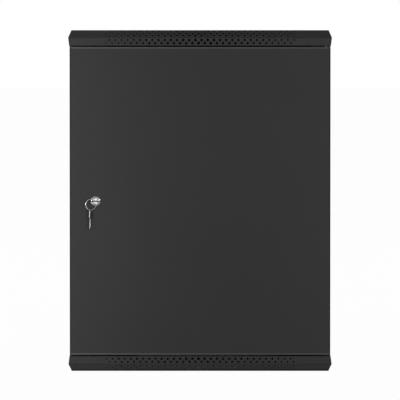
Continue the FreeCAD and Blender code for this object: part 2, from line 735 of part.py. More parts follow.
def lock_nut():
    """Thin hexagon nut that clamps the housing behind the sheet."""
    nut = regular_prism(LOCK_NUT_FLATS, 6, Vector(0, SHEET, 0), Vector(0, 1, 0), LOCK_NUT_THICKNESS)
    return nut.cut(lock_barrel(LOCK_BARREL_FLATS, SHEET, LOCK_NUT_THICKNESS))


def lock_plug(reach):
    """Turning plug with its keyway in front and a square end for the cam."""
    front = -LOCK_FACE_THICKNESS - PLUG_PROUD
    plug = rod(PLUG_RADIUS, Vector(0, front, 0), Vector(0, 1, 0), reach - front)
    half = PLUG_SQUARE / 2
    square = block(-half, half, reach, reach + CAM_THICKNESS, -half, half)
    width = KEY_BLADE_WIDTH / 2 + KEYWAY_PLAY
    height = KEY_THICKNESS / 2 + KEYWAY_PLAY
    depth = min(KEY_BLADE_LENGTH + 2 * KEYWAY_PLAY, reach - front - CAM_THICKNESS)
    keyway = block(-width, width, front - PLUG_PROUD, front + depth, -height, height)
    return plug.fuse(square).cut(keyway)


def lock_cam(reach, length):
    """Flat cam with rounded corners, hanging from the plug's square end."""
    half = CAM_WIDTH / 2
    corner = CAM_WIDTH / 3
    outline = [(-half, -length), (half, -length), (half, half), (-half, half)]
    cam = profile([(x, z, corner) for x, z in outline], "xz", reach, CAM_THICKNESS)
    side = PLUG_SQUARE / 2 + CAM_PLAY
    return cam.cut(block(-side, side, reach, reach + CAM_THICKNESS, -side, side))


def cam_screw(reach):
    """Hexagon screw head that keeps the cam on the plug."""
    return regular_prism(CAM_SCREW_FLATS, 6, Vector(0, reach + CAM_THICKNESS, 0),
                         Vector(0, 1, 0), CAM_SCREW_THICKNESS)


def turned(shape, x, y, z, angle):
    """Lock piece turned about the vertical and moved to its place."""
    moved = shape.copy()
    place = FreeCAD.Placement(Vector(x, y, z), Rotation(Vector(0, 0, 1), angle))
    moved.Placement = place.multiply(moved.Placement)
    return moved


def side_lock_place():
    """Centre of the right side panel's lock, under the upper side bar."""
    return SIDE, FRAME_FRONT / 2, BAR_LOW - SIDE_CAM_DROP


def side_lock_reach():
    """Depth of the side lock's cam behind the panel's face: just inside the keeper."""
    return SIDE_RETURN + 2 * FRAME_SHEET + CAM_CLEARANCE


def door_lock_reach():
    """Depth of the door lock's cam behind the door's face: just inside the upright's flange."""
    return FRAME_FRONT + FRAME_SHEET + CAM_CLEARANCE - DOOR_FRONT


def side_lock_cam():
    """Plug and cam of the right side lock in one piece, lying along the depth."""
    reach = side_lock_reach()
    cam = lock_cam(reach, SIDE_CAM_LENGTH)
    cam.rotate(Vector(0, 0, 0), Vector(0, 1, 0), -90)
    return lock_plug(reach).fuse(cam)


def key_blank():
    """Key lying flat: blade along +Y from the shoulder at the origin, bow along -Y."""
    blade = KEY_BLADE_WIDTH / 2
    bow = KEY_BOW_WIDTH / 2
    left = [(-blade, KEY_BLADE_LENGTH, KEY_TIP_CORNER), (-blade, 0, KEY_ROOT_CORNER),
            (-bow, 0, KEY_SHOULDER_CORNER), (-bow, -KEY_BOW_LENGTH, KEY_BOW_CORNER)]
    right = [(-x, y, radius) for x, y, radius in left[::-1]]
    key = profile(left + right, "xy", -KEY_THICKNESS / 2, KEY_THICKNESS)
    cutters = [rod(KEY_HOLE_RADIUS, Vector(0, KEY_HOLE_INSET - KEY_BOW_LENGTH, -KEY_THICKNESS),
                   Vector(0, 0, 1), 2 * KEY_THICKNESS)]
    pitch = KEY_BLADE_LENGTH / (KEY_NOTCHES + 2)
    for index in range(KEY_NOTCHES):
        y = pitch * (index + 1.5)
        depth = KEY_NOTCH_DEPTHS[index % 2]
        corners = [(blade - depth, y, 0), (blade + depth, y + 2 * depth, 0),
                   (blade + depth, y - 2 * depth, 0)]
        cutters.append(profile(corners, "xy", -KEY_THICKNESS, 2 * KEY_THICKNESS))
    return key.cut(Part.makeCompound(cutters))


def key_shoulder():
    """Depth of the inserted key's shoulder."""
    return DOOR_FRONT - LOCK_FACE_THICKNESS - PLUG_PROUD - KEYWAY_PLAY


def key_hole_y():
    """Depth of the hole in the inserted key's bow."""
    return key_shoulder() - KEY_BOW_LENGTH + KEY_HOLE_INSET


def key():
    """Key in the door lock, its bow lying flat."""
    shape = key_blank()
    shape.translate(Vector(LOCK_X, key_shoulder(), 0))
    return shape


def ring_centre():
    """Centre of the key ring, hanging to the left against the side of the bow's hole."""
    reach = RING_RADIUS - RING_WIRE / 2 + RING_SLIP
    lean = math.radians(RING_LEAN)
    return Vector(LOCK_X - reach * math.sin(lean), key_hole_y(), -reach * math.cos(lean))


def key_ring():
    """Flat-wire ring through the bow's hole."""
    start = ring_centre() - Vector(0, RING_WIRE / 2, 0)
    return tube(RING_RADIUS, RING_RADIUS - RING_WIRE, RING_SIDES, start, Vector(0, 1, 0), RING_WIRE)


def spare_pivot():
    """Lowest point of the ring's wire, which carries the spare key."""
    return ring_centre() - Vector(0, 0, RING_RADIUS - RING_WIRE / 2)


def spare_key():
    """Spare key hanging from the ring's lowest point, blade down."""
    shape = key_blank()
    drop = KEY_HOLE_RADIUS - RING_WIRE / 2 - RING_PLAY
    shape.translate(Vector(0, KEY_BOW_LENGTH - KEY_HOLE_INSET + drop, 0))
    shape.rotate(Vector(0, 0, 0), Vector(1, 0, 0), -90)
    shape.rotate(Vector(0, 0, 0), Vector(0, 0, 1), 90 + SPARE_TWIST)
    shape.rotate(Vector(0, 0, 0), Vector(0, 1, 0), SPARE_LEAN)
    shape.translate(spare_pivot())
    return shape


def earth_stud():
    """Welded earth stud on the inner face of the lower panel."""
    return regular_prism(EARTH_FLATS, 6, Vector(SIDE / 2, FRAME_FRONT / 2, -CEILING),
                         Vector(0, 0, 1), EARTH_LENGTH)


def build_nodes():
    """Every node of the cabinet by name."""
    nodes = {}
    visor = top_visor()
    nodes["top_visor"] = visor
    nodes["bottom_visor"] = mirror_z(visor)
    nodes["top_panel"] = top_panel()
    nodes["bottom_panel"] = mirror_z(end_panel())
    nodes["rear_panel"] = rear_panel()
    nodes["lower_hinge_pin"] = lower_hinge_pin()
    nodes["door_buffers"] = door_buffers()
    nodes["earth_stud"] = earth_stud()
    for end, flip in (("top", lambda shape: shape), ("bottom", mirror_z)):
        nodes[f"{end}_cable_cover"] = flip(cable_cover())
        nodes[f"{end}_cover_studs"] = flip(cover_studs())

    nodes["front_upright_right"] = front_upright()
    nodes["front_upright_left"] = mirror_x(front_upright().cut(cam_notch()))
    nodes["rear_upright_right"] = rear_upright()
    nodes["rear_upright_left"] = mirror_x(rear_upright())
    depth_middle = (FRONT + FRONT_RAIL_SETBACK - REAR_RAIL_SETBACK) / 2
    right_pieces = {"mounting_rail_front": mounting_rail(), "rail_bolts_front": rail_bolts()}
    right_pieces["mounting_rail_rear"] = mirror_y(right_pieces["mounting_rail_front"], depth_middle)
    right_pieces["rail_bolts_rear"] = mirror_y(right_pieces["rail_bolts_front"], depth_middle)
    right_pieces["side_bar_upper"] = side_bar()
    right_pieces["side_bar_lower"] = mirror_z(right_pieces["side_bar_upper"])
    right_pieces["side_lock_keeper"] = side_lock_keeper()
    right_pieces["side_panel"] = side_panel()
    place = side_lock_place()
    right_pieces["side_lock_body"] = turned(lock_body(side_lock_reach()), *place, 90)
    right_pieces["side_lock_nut"] = turned(lock_nut(), *place, 90)
    right_pieces["side_lock_cam"] = turned(side_lock_cam(), *place, 90)
    for name, shape in right_pieces.items():
        nodes[f"{name}_right"] = shape
        nodes[f"{name}_left"] = mirror_x(shape)

    nodes["door_panel"] = door_panel()
    nodes["door_stiffener"] = door_stiffener()
    nodes["lower_hinge_bracket"] = lower_hinge_bracket()
    nodes["upper_hinge_bracket"] = upper_hinge_bracket()
    nodes["upper_hinge_pin"] = upper_hinge_pin()
    nodes["hinge_spring"] = hinge_spring()
    reach = door_lock_reach()
    lock_pieces = {"lock_body": lock_body(reach), "lock_nut": lock_nut(),
                   "lock_plug": lock_plug(reach), "lock_cam": lock_cam(reach, CAM_LENGTH),
                   "cam_screw": cam_screw(reach)}
    for name, shape in lock_pieces.items():
        nodes[name] = turned(shape, LOCK_X, DOOR_FRONT, 0, 0)
    nodes["key"] = key()
    nodes["key_ring"] = key_ring()
    nodes["spare_key"] = spare_key()
    return nodes


def main():
    """Write one STEP file for each node."""
    os.makedirs("parts", exist_ok=True)
    for name, shape in build_nodes().items():
        shape.exportStep(f"parts/{name}.step")


main()
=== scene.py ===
"""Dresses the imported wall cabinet: finishes, finer metalwork, floor, lights and camera.

Metres. X runs to the right, Y to the wall, Z up, with the origin at the wall fixing.
"""

import json
import logging
import math
from dataclasses import dataclass, field
from enum import Enum
from typing import Callable, Iterable, Sequence

import bmesh
import bpy
from mathutils import Matrix, Vector

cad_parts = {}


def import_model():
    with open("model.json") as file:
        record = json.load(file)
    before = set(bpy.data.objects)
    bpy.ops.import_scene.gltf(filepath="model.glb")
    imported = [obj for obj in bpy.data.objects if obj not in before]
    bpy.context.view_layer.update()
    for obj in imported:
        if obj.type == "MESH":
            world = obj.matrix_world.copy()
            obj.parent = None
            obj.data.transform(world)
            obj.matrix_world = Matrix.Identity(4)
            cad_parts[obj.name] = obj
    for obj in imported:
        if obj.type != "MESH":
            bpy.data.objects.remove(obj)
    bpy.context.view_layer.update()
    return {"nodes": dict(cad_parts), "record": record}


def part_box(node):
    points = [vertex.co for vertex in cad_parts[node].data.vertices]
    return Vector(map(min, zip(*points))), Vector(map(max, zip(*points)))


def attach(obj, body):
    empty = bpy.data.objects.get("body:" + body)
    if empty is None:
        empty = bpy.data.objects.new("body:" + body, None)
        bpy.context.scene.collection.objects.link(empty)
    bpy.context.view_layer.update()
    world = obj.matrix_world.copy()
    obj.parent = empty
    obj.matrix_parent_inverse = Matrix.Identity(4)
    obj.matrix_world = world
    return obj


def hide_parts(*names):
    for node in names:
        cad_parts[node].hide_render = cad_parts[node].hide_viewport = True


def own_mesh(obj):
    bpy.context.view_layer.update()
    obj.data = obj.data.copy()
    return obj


LOG = logging.getLogger("cabinet")
TOUCH = 1e-6  # points that are nearer than this count as one

X_AXIS = Vector((1, 0, 0))
Y_AXIS = Vector((0, 1, 0))
Z_AXIS = Vector((0, 0, 1))


# ---------------------------------------------------------------- node helpers


class Shader:
    """Short way to add and join nodes in one material or node group."""

    def __init__(self, tree: bpy.types.NodeTree) -> None:
        """Starts on an empty tree.

        Args:
            tree: the tree of a material, a world or a group.
        """
        self.tree = tree
        tree.nodes.clear()

    def add(self, kind: str, **values: object) -> bpy.types.Node:
        """Adds a node and sets its properties and input values.

        Args:
            kind: the node's type, without the common prefix.
            **values: properties of the node, or inputs named in lower case.

        Returns:
            The new node.
        """
        node = self.tree.nodes.new("ShaderNode" + kind)
        names: dict[str, bpy.types.NodeSocket] = {}
        for socket in node.inputs:
            names.setdefault(socket.name.lower().replace(" ", "_"), socket)
        for name, value in values.items():
            if name in names:
                names[name].default_value = value
            else:
                setattr(node, name, value)
        return node

    def join(self, start: object, end: bpy.types.NodeSocket) -> None:
        """Joins an output to an input, or gives the input a plain value.

        Args:
            start: an output, a number or a colour.
            end: the input.
        """
        if isinstance(start, bpy.types.NodeSocket):
            self.tree.links.new(start, end)
        else:
            end.default_value = start

    def math(self, operation: str, first: object, second: object = 0.0) -> bpy.types.NodeSocket:
        """Adds a Math node.

        Args:
            operation: the node's operation.
            first: a number or an output.
            second: a number or an output.

        Returns:
            The node's value output.
        """
        node = self.add("Math", operation=operation)
        for socket, value in zip(node.inputs, (first, second)):
            self.join(value, socket)
        return node.outputs[0]

    def mix_colour(self, share: object, first: object, second: object) -> bpy.types.NodeSocket:
        """Mixes two colours.

        Args:
            share: a number or an output, 0 for the first colour and 1 for the second.
            first: a colour or an output.
            second: a colour or an output.

        Returns:
            The mixed colour's output.
        """
        node = self.add("Mix", data_type="RGBA")
        sockets = (node.inputs[0], node.inputs[6], node.inputs[7])
        for socket, value in zip(sockets, (share, first, second)):
            self.join(value, socket)
        return node.outputs[2]

    def spread(self, value: bpy.types.NodeSocket, low: float, high: float,
               to_low: float, to_high: float) -> bpy.types.NodeSocket:
        """Maps a value from one range to another and clamps it.

        Args:
            value: the output to map.
            low: start of the old range.
            high: end of the old range.
            to_low: start of the new range.
            to_high: end of the new range.

        Returns:
            The mapped value's output.
        """
        node = self.add("MapRange", from_min=low, from_max=high, to_min=to_low, to_max=to_high)
        self.join(value, node.inputs[0])
        return node.outputs[0]

    def overlay(self, mask: bpy.types.NodeSocket, amount: float, below: object,
                above: object) -> bpy.types.NodeSocket:
        """Lays a colour over another one where a mask says so.

        Args:
            mask: the mask's output.
            amount: share of the mask that counts.
            below: a colour or an output.
            above: a colour or an output.

        Returns:
            The mixed colour's output.
        """
        return self.mix_colour(self.math("MULTIPLY", mask, amount), below, above)

    def at_place(self, kind: str, **values: object) -> bpy.types.Node:
        """Adds a texture node that reads object coordinates.

        Args:
            kind: the node's type, without the common prefix.
            **values: as for add.

        Returns:
            The new node.
        """
        node = self.add(kind, **values)
        self.join(self.add("TexCoord").outputs["Object"], node.inputs["Vector"])
        return node

    def levelness(self) -> bpy.types.NodeSocket:
        """Measures how level a face lies.

        Returns:
            The output, 0 on an upright face and 1 on a level one.
        """
        split = self.add("SeparateXYZ")
        self.join(self.add("TexCoord").outputs["Normal"], split.inputs[0])
        return self.math("ABSOLUTE", split.outputs["Z"])


class Group(Shader):
    """Shader node group: numbers go in at ins, and results come out at outs."""

    NUMBER = "NodeSocketFloat"

    def __init__(self, name: str, inputs: dict[str, float], outputs: Sequence[str]) -> None:
        """Makes the group with its sockets.

        Args:
            name: the group's name.
            inputs: default of each number that goes in, by name.
            outputs: name of each number that comes out.
        """
        super().__init__(bpy.data.node_groups.new(name, "ShaderNodeTree"))
        sockets = self.tree.interface
        for label, default in inputs.items():
            socket = sockets.new_socket(name=label, in_out="INPUT", socket_type=self.NUMBER)
            socket.default_value = default
        for label in outputs:
            sockets.new_socket(name=label, in_out="OUTPUT", socket_type=self.NUMBER)
        self.ins = self.tree.nodes.new("NodeGroupInput").outputs
        self.outs = self.tree.nodes.new("NodeGroupOutput").inputs


class Effects:
    """The shader node groups that several finishes share, made once."""

    def __init__(self) -> None:
        """Builds every group."""
        self.grain = self.build_grain()
        self.wear = self.build_wear()
        self.scratches = self.build_scratches()
        self.spangle = self.build_spangle()
        self.dust = self.build_dust()
        self.bends = self.build_fold_highlight()
        self.shear = self.build_edge_shade()
        self.shade_and_grime = self.build_shade_and_grime()

    def build_grain(self) -> bpy.types.NodeTree:
        """Fine leathery texture of baked powder.

        Returns:
            The group, with a height and a slow variation.
        """
        shader = Group("powder_grain", {"Scale": 900.0}, ["Height", "Cloud"])
        cells = shader.at_place("TexVoronoi", feature="SMOOTH_F1", smoothness=0.6)
        fine = shader.at_place("TexNoise", detail=3.0, roughness=0.6)
        cloud = shader.at_place("TexNoise", scale=5.0, detail=4.0, roughness=0.55)
        for node in (cells, fine):
            shader.join(shader.ins["Scale"], node.inputs["Scale"])
        soft = shader.math("MULTIPLY", cells.outputs["Distance"], 0.7)
        height = shader.math("ADD", soft, shader.math("MULTIPLY", fine.outputs["Fac"], 0.5))
        shader.join(height, shader.outs["Height"])
        shader.join(cloud.outputs["Fac"], shader.outs["Cloud"])
        return shader.tree

    def build_wear(self) -> bpy.types.NodeTree:
        """Mask of the outer edges, broken up as rubbed paint is.

        Returns:
            The group.
        """
        shader = Group("edge_wear", {"Radius": 0.0012, "Patches": 60.0}, ["Mask"])
        rounded = shader.add("Bevel", samples=4)
        shader.join(shader.ins["Radius"], rounded.inputs["Radius"])
        surface = shader.add("NewGeometry")
        product = shader.add("VectorMath", operation="DOT_PRODUCT")
        shader.join(rounded.outputs["Normal"], product.inputs[0])
        shader.join(surface.outputs["Normal"], product.inputs[1])
        edge = shader.spread(product.outputs["Value"], 0.995, 0.86, 0.0, 1.0)
        patches = shader.at_place("TexNoise", detail=5.0, roughness=0.65)
        shader.join(shader.ins["Patches"], patches.inputs["Scale"])
        broken = shader.spread(patches.outputs["Fac"], 0.42, 0.62, 0.15, 1.0)
        shader.join(shader.math("MULTIPLY", edge, broken), shader.outs["Mask"])
        return shader.tree

    def build_scratches(self) -> bpy.types.NodeTree:
        """Hairlines of polishing and handling, along X and round about.

        Returns:
            The group.
        """
        shader = Group("hairlines", {"Scale": 400.0, "Stretch": 12.0}, ["Height", "Smudge"])
        joined = shader.add("CombineXYZ", x=1.0)
        for label in ("Y", "Z"):
            shader.join(shader.ins["Stretch"], joined.inputs[label])
        scaled = shader.add("VectorMath", operation="MULTIPLY")
        shader.join(shader.add("TexCoord").outputs["Object"], scaled.inputs[0])
        shader.join(joined.outputs[0], scaled.inputs[1])
        lines = shader.add("TexNoise", detail=2.0, roughness=0.7)
        shader.join(scaled.outputs[0], lines.inputs["Vector"])
        shader.join(shader.ins["Scale"], lines.inputs["Scale"])
        smudge = shader.at_place("TexNoise", scale=90.0, detail=3.0)
        shader.join(lines.outputs["Fac"], shader.outs["Height"])
        shader.join(smudge.outputs["Fac"], shader.outs["Smudge"])
        return shader.tree

    def build_spangle(self) -> bpy.types.NodeTree:
        """Crystal pattern of hot-dip zinc.

        Returns:
            The group, with a value for each crystal, and the crystals' borders.
        """
        shader = Group("zinc_spangle", {"Scale": 160.0}, ["Crystal", "Border"])
        warp = shader.at_place("TexNoise", scale=60.0, detail=2.0)
        bent = shader.add("VectorMath", operation="MULTIPLY_ADD")
        bent.inputs[1].default_value = (0.006, 0.006, 0.006)
        shader.join(warp.outputs["Color"], bent.inputs[0])
        shader.join(shader.add("TexCoord").outputs["Object"], bent.inputs[2])
        cells = shader.add("TexVoronoi", feature="F1")
        border = shader.add("TexVoronoi", feature="DISTANCE_TO_EDGE")
        for node in (cells, border):
            shader.join(bent.outputs[0], node.inputs["Vector"])
            shader.join(shader.ins["Scale"], node.inputs["Scale"])
        split = shader.add("SeparateColor")
        shader.join(cells.outputs["Color"], split.inputs[0])
        shader.join(split.outputs[0], shader.outs["Crystal"])
        near = shader.spread(border.outputs["Distance"], 0.0, 0.08, 1.0, 0.0)
        shader.join(near, shader.outs["Border"])
        return shader.tree

    def build_dust(self) -> bpy.types.NodeTree:
        """Thin dust that settles on faces that look up.

        Returns:
            The group.
        """
        shader = Group("settled_dust", {"Amount": 0.1}, ["Mask"])
        surface = shader.add("NewGeometry")
        split = shader.add("SeparateXYZ")
        shader.join(surface.outputs["Normal"], split.inputs[0])
        up = shader.spread(split.outputs["Z"], 0.75, 1.0, 0.0, 1.0)
        patches = shader.at_place("TexNoise", scale=14.0, detail=6.0, roughness=0.6)
        uneven = shader.spread(patches.outputs["Fac"], 0.3, 0.7, 0.3, 1.0)
        settled = shader.math("MULTIPLY", up, uneven)
        shader.join(shader.math("MULTIPLY", settled, shader.ins["Amount"]), shader.outs["Mask"])
        return shader.tree

    def build_fold_highlight(self) -> bpy.types.NodeTree:
        """Mask of the level folds, for a painted highlight along them.

        Returns:
            The group.
        """
        shader = Group("rubbed_bends", {"Slope": 0.72}, ["Mask"])
        level = shader.levelness()
        starts = shader.spread(level, 0.01, 0.12, 0.0, 1.0)
        over = shader.math("SUBTRACT", level, shader.ins["Slope"])
        stops = shader.spread(over, 0.0, 0.06, 1.0, 0.0)
        shader.join(shader.math("MULTIPLY", starts, stops), shader.outs["Mask"])
        return shader.tree

    def build_edge_shade(self) -> bpy.types.NodeTree:
        """Mask of the upright edges of a level plate, for painted shade on them.

        Returns:
            The group.
        """
        shader = Group("stamped_edges", {"Amount": 1.0}, ["Mask"])
        edge = shader.spread(shader.levelness(), 0.25, 0.7, 1.0, 0.0)
        shader.join(shader.math("MULTIPLY", edge, shader.ins["Amount"]), shader.outs["Mask"])
        return shader.tree

    def build_shade_and_grime(self) -> bpy.types.NodeTree:
        """Mask of corners and recesses from ambient occlusion: where it darkens a colour, it is
        painted shade together with dirt.

        Returns:
            The group.
        """
        shader = Group("recess_grime", {"Reach": 0.003}, ["Mask"])
        shade = shader.add("AmbientOcclusion", samples=8)
        shader.join(shader.ins["Reach"], shade.inputs["Distance"])
        deep = shader.spread(shade.outputs["AO"], 0.92, 0.35, 0.0, 1.0)
        patches = shader.at_place("TexNoise", scale=160.0, detail=4.0, roughness=0.6)
        uneven = shader.spread(patches.outputs["Fac"], 0.3, 0.6, 0.6, 1.0)
        shader.join(shader.math("MULTIPLY", deep, uneven), shader.outs["Mask"])
        return shader.tree


class Finish:
    """What every finish shares: a material with one Principled shader."""

    name: str

    def start(self) -> tuple[bpy.types.Material, Shader, bpy.types.Node]:
        """Makes the material.

        Returns:
            The material, its Shader and its Principled node.
        """
        material = bpy.data.materials.new(self.name)
        material.use_nodes = True
        shader = Shader(material.node_tree)
        surface = shader.add("BsdfPrincipled")
        output = shader.add("OutputMaterial")
        shader.join(surface.outputs[0], output.inputs["Surface"])
        return material, shader, surface

    @staticmethod
    def group(shader: Shader, tree: bpy.types.NodeTree, **values: float) -> bpy.types.Node:
        """Places a shared group and sets its inputs.

        Args:
            shader: the material's Shader.
            tree: the group.
            **values: its inputs by lower-case name.

        Returns:
            The group's node.
        """
        node = shader.add("Group", node_tree=tree)
        for socket in node.inputs:
            if socket.name.lower() in values:
                socket.default_value = values[socket.name.lower()]
        return node

    @staticmethod
    def bump(shader: Shader, surface: bpy.types.Node, height: bpy.types.NodeSocket,
             strength: float, distance: float) -> None:
        """Turns a height into the surface's relief.

        Args:
            shader: the material's Shader.
            surface: its Principled node.
            height: the height's output.
            strength: share of the relief that shows.
            distance: depth of the relief, in metres.
        """
        node = shader.add("Bump", strength=strength, distance=distance)
        shader.join(height, node.inputs["Height"])
        shader.join(node.outputs[0], surface.inputs["Normal"])


@dataclass(frozen=True)
class PowderCoat(Finish):
    """Baked polyester powder on steel, finely textured."""

    name: str = "black_powder_coat"
    colour: tuple = (0.0205, 0.0206, 0.0209, 1.0)
    pale: tuple = (0.0230, 0.0231, 0.0235, 1.0)
    rubbed: tuple = (0.045, 0.045, 0.046, 1.0)
    # colour of the painted highlight on the level folds
    fold_highlight_colour: tuple = (0.130, 0.130, 0.131, 1.0)
    dusty: tuple = (0.060, 0.059, 0.057, 1.0)
    roughness: tuple = (0.37, 0.45)
    gloss: float = 0.07
    grain_scale: float = 900.0
    relief: float = 0.00010
    relief_share: float = 0.35
    speck_share: float = 0.25
    wear_radius: float = 0.0010
    wear_share: float = 0.55
    dust_share: float = 0.10
    fold_slope: float = 0.72
    fold_highlight_share: float = 0.0
    recess_reach: float = 0.006

    def build(self, effects: Effects) -> bpy.types.Material:
        """Builds the coat with its grain, rubbed edges, dust, dull recesses and a painted
        highlight on its level folds.

        Args:
            effects: the shared node groups.

        Returns:
            The material.
        """
        material, shader, surface = self.start()
        grain = self.group(shader, effects.grain, scale=self.grain_scale)
        wear = self.group(shader, effects.wear, radius=self.wear_radius)
        dust = self.group(shader, effects.dust, amount=self.dust_share)
        bends = self.group(shader, effects.bends, slope=self.fold_slope)
        recess = self.group(shader, effects.shade_and_grime, reach=self.recess_reach)
        share = shader.spread(grain.outputs["Cloud"], 0.3, 0.7, 0.0, 1.0)
        colour = shader.mix_colour(share, self.colour, self.pale)
        speck = shader.spread(grain.outputs["Height"], 0.25, 0.75, 0.0, self.speck_share)
        colour = shader.mix_colour(speck, colour, self.rubbed)
        colour = shader.overlay(wear.outputs["Mask"], self.wear_share, colour, self.rubbed)
        # painted highlight along the level folds, strongest on the door
        colour = shader.overlay(bends.outputs["Mask"], self.fold_highlight_share, colour, self.fold_highlight_colour)
        colour = shader.mix_colour(dust.outputs["Mask"], colour, self.dusty)
        shader.join(colour, surface.inputs["Base Color"])
        satin = shader.spread(grain.outputs["Height"], 0.2, 0.9, *self.roughness)
        dull = shader.spread(recess.outputs["Mask"], 0.15, 0.75, 0.0, 1.0)
        shader.join(shader.math("MAXIMUM", satin, dull), surface.inputs["Roughness"])
        surface.inputs["Specular IOR Level"].default_value = self.gloss
        self.bump(shader, surface, grain.outputs["Height"], self.relief_share, self.relief)
        return material


@dataclass(frozen=True)
class PlatedMetal(Finish):
    """Bright or satin plating with hairlines, smudges and worn edges, painted shade with dirt in
    its recesses, and painted shade on upright edges.
    """

    name: str
    colour: tuple
    worn: tuple
    roughness: tuple
    # dark colour for the painted shade, with dirt, in recesses
    shade_and_grease: tuple = (0.012, 0.011, 0.010, 1.0)
    # dark colour of the painted shade on upright edges of level plates
    edge_shade_colour: tuple = (0.020, 0.019, 0.018, 1.0)
    relief: float = 0.00002
    relief_share: float = 0.25
    scale: float = 400.0
    stretch: float = 12.0
    wear_radius: float = 0.0005
    wear_patches: float = 90.0
    wear_share: float = 0.5
    shade_reach: float = 0.0035
    shade_and_dirt_share: float = 0.85
    edge_shade_share: float = 0.0

    def build(self, effects: Effects) -> bpy.types.Material:
        """Builds the plating.

        Args:
            effects: the shared node groups.

        Returns:
            The material.
        """
        material, shader, surface = self.start()
        lines = self.group(shader, effects.scratches, scale=self.scale, stretch=self.stretch)
        wear = self.group(shader, effects.wear, radius=self.wear_radius, patches=self.wear_patches)
        shade_and_grime = self.group(shader, effects.shade_and_grime, reach=self.shade_reach)
        shear = self.group(shader, effects.shear, amount=self.edge_shade_share)
        smudge = shader.spread(lines.outputs["Smudge"], 0.35, 0.7, 0.0, 0.5)
        colour = shader.mix_colour(smudge, self.colour, self.worn)
        colour = shader.overlay(wear.outputs["Mask"], self.wear_share, colour, self.worn)
        # painted shade, with dirt, where ambient occlusion finds a recess
        colour = shader.overlay(shade_and_grime.outputs["Mask"], self.shade_and_dirt_share, colour, self.shade_and_grease)
        # painted shade on the upright edges of level plates
        colour = shader.mix_colour(shear.outputs["Mask"], colour, self.edge_shade_colour)
        shader.join(colour, surface.inputs["Base Color"])
        shader.join(shader.spread(lines.outputs["Smudge"], 0.3, 0.7, *self.roughness),
                    surface.inputs["Roughness"])
        surface.inputs["Metallic"].default_value = 1.0
        self.bump(shader, surface, lines.outputs["Height"], self.relief_share, self.relief)
        return material


@dataclass(frozen=True)
class GalvanisedSheet(Finish):
    """Hot-dip zinc on sheet steel, with its crystals."""

    name: str = "galvanised_sheet"
    bright: tuple = (0.62, 0.63, 0.64, 1.0)
    dull: tuple = (0.44, 0.45, 0.47, 1.0)
    roughness: tuple = (0.32, 0.5)
    crystal_scale: float = 160.0
    border_share: float = 0.3
    scratch_scale: float = 200.0
    scratch_stretch: float = 6.0
    relief: float = 0.00003
    relief_share: float = 0.2

    def build(self, effects: Effects) -> bpy.types.Material:
        """Builds the zinc.

        Args:
            effects: the shared node groups.

        Returns:
            The material.
        """
        material, shader, surface = self.start()
        zinc = self.group(shader, effects.spangle, scale=self.crystal_scale)
        lines = self.group(shader, effects.scratches, scale=self.scratch_scale,
                           stretch=self.scratch_stretch)
        colour = shader.mix_colour(zinc.outputs["Crystal"], self.bright, self.dull)
        colour = shader.overlay(zinc.outputs["Border"], self.border_share, colour, self.dull)
        shader.join(colour, surface.inputs["Base Color"])
        shader.join(shader.spread(zinc.outputs["Crystal"], 0.0, 1.0, *self.roughness),
                    surface.inputs["Roughness"])
        surface.inputs["Metallic"].default_value = 1.0
        self.bump(shader, surface, lines.outputs["Height"], self.relief_share, self.relief)
        return material


@dataclass(frozen=True)
class Rubber(Finish):
    """Moulded black rubber with a dry bloom."""

    name: str = "buffer_rubber"
    colour: tuple = (0.012, 0.012, 0.012, 1.0)
    bloom: tuple = (0.045, 0.044, 0.043, 1.0)
    roughness: tuple = (0.72, 0.9)
    grain_scale: float = 1400.0
    relief: float = 0.00008
    relief_share: float = 0.3

    def build(self, effects: Effects) -> bpy.types.Material:
        """Builds the rubber.

        Args:
            effects: the shared node groups.

        Returns:
            The material.
        """
        material, shader, surface = self.start()
        grain = self.group(shader, effects.grain, scale=self.grain_scale)
        share = shader.spread(grain.outputs["Cloud"], 0.4, 0.75, 0.0, 0.7)
        colour = shader.mix_colour(share, self.colour, self.bloom)
        shader.join(colour, surface.inputs["Base Color"])
        shader.join(shader.spread(grain.outputs["Height"], 0.2, 0.9, *self.roughness),
                    surface.inputs["Roughness"])
        self.bump(shader, surface, grain.outputs["Height"], self.relief_share, self.relief)
        return material


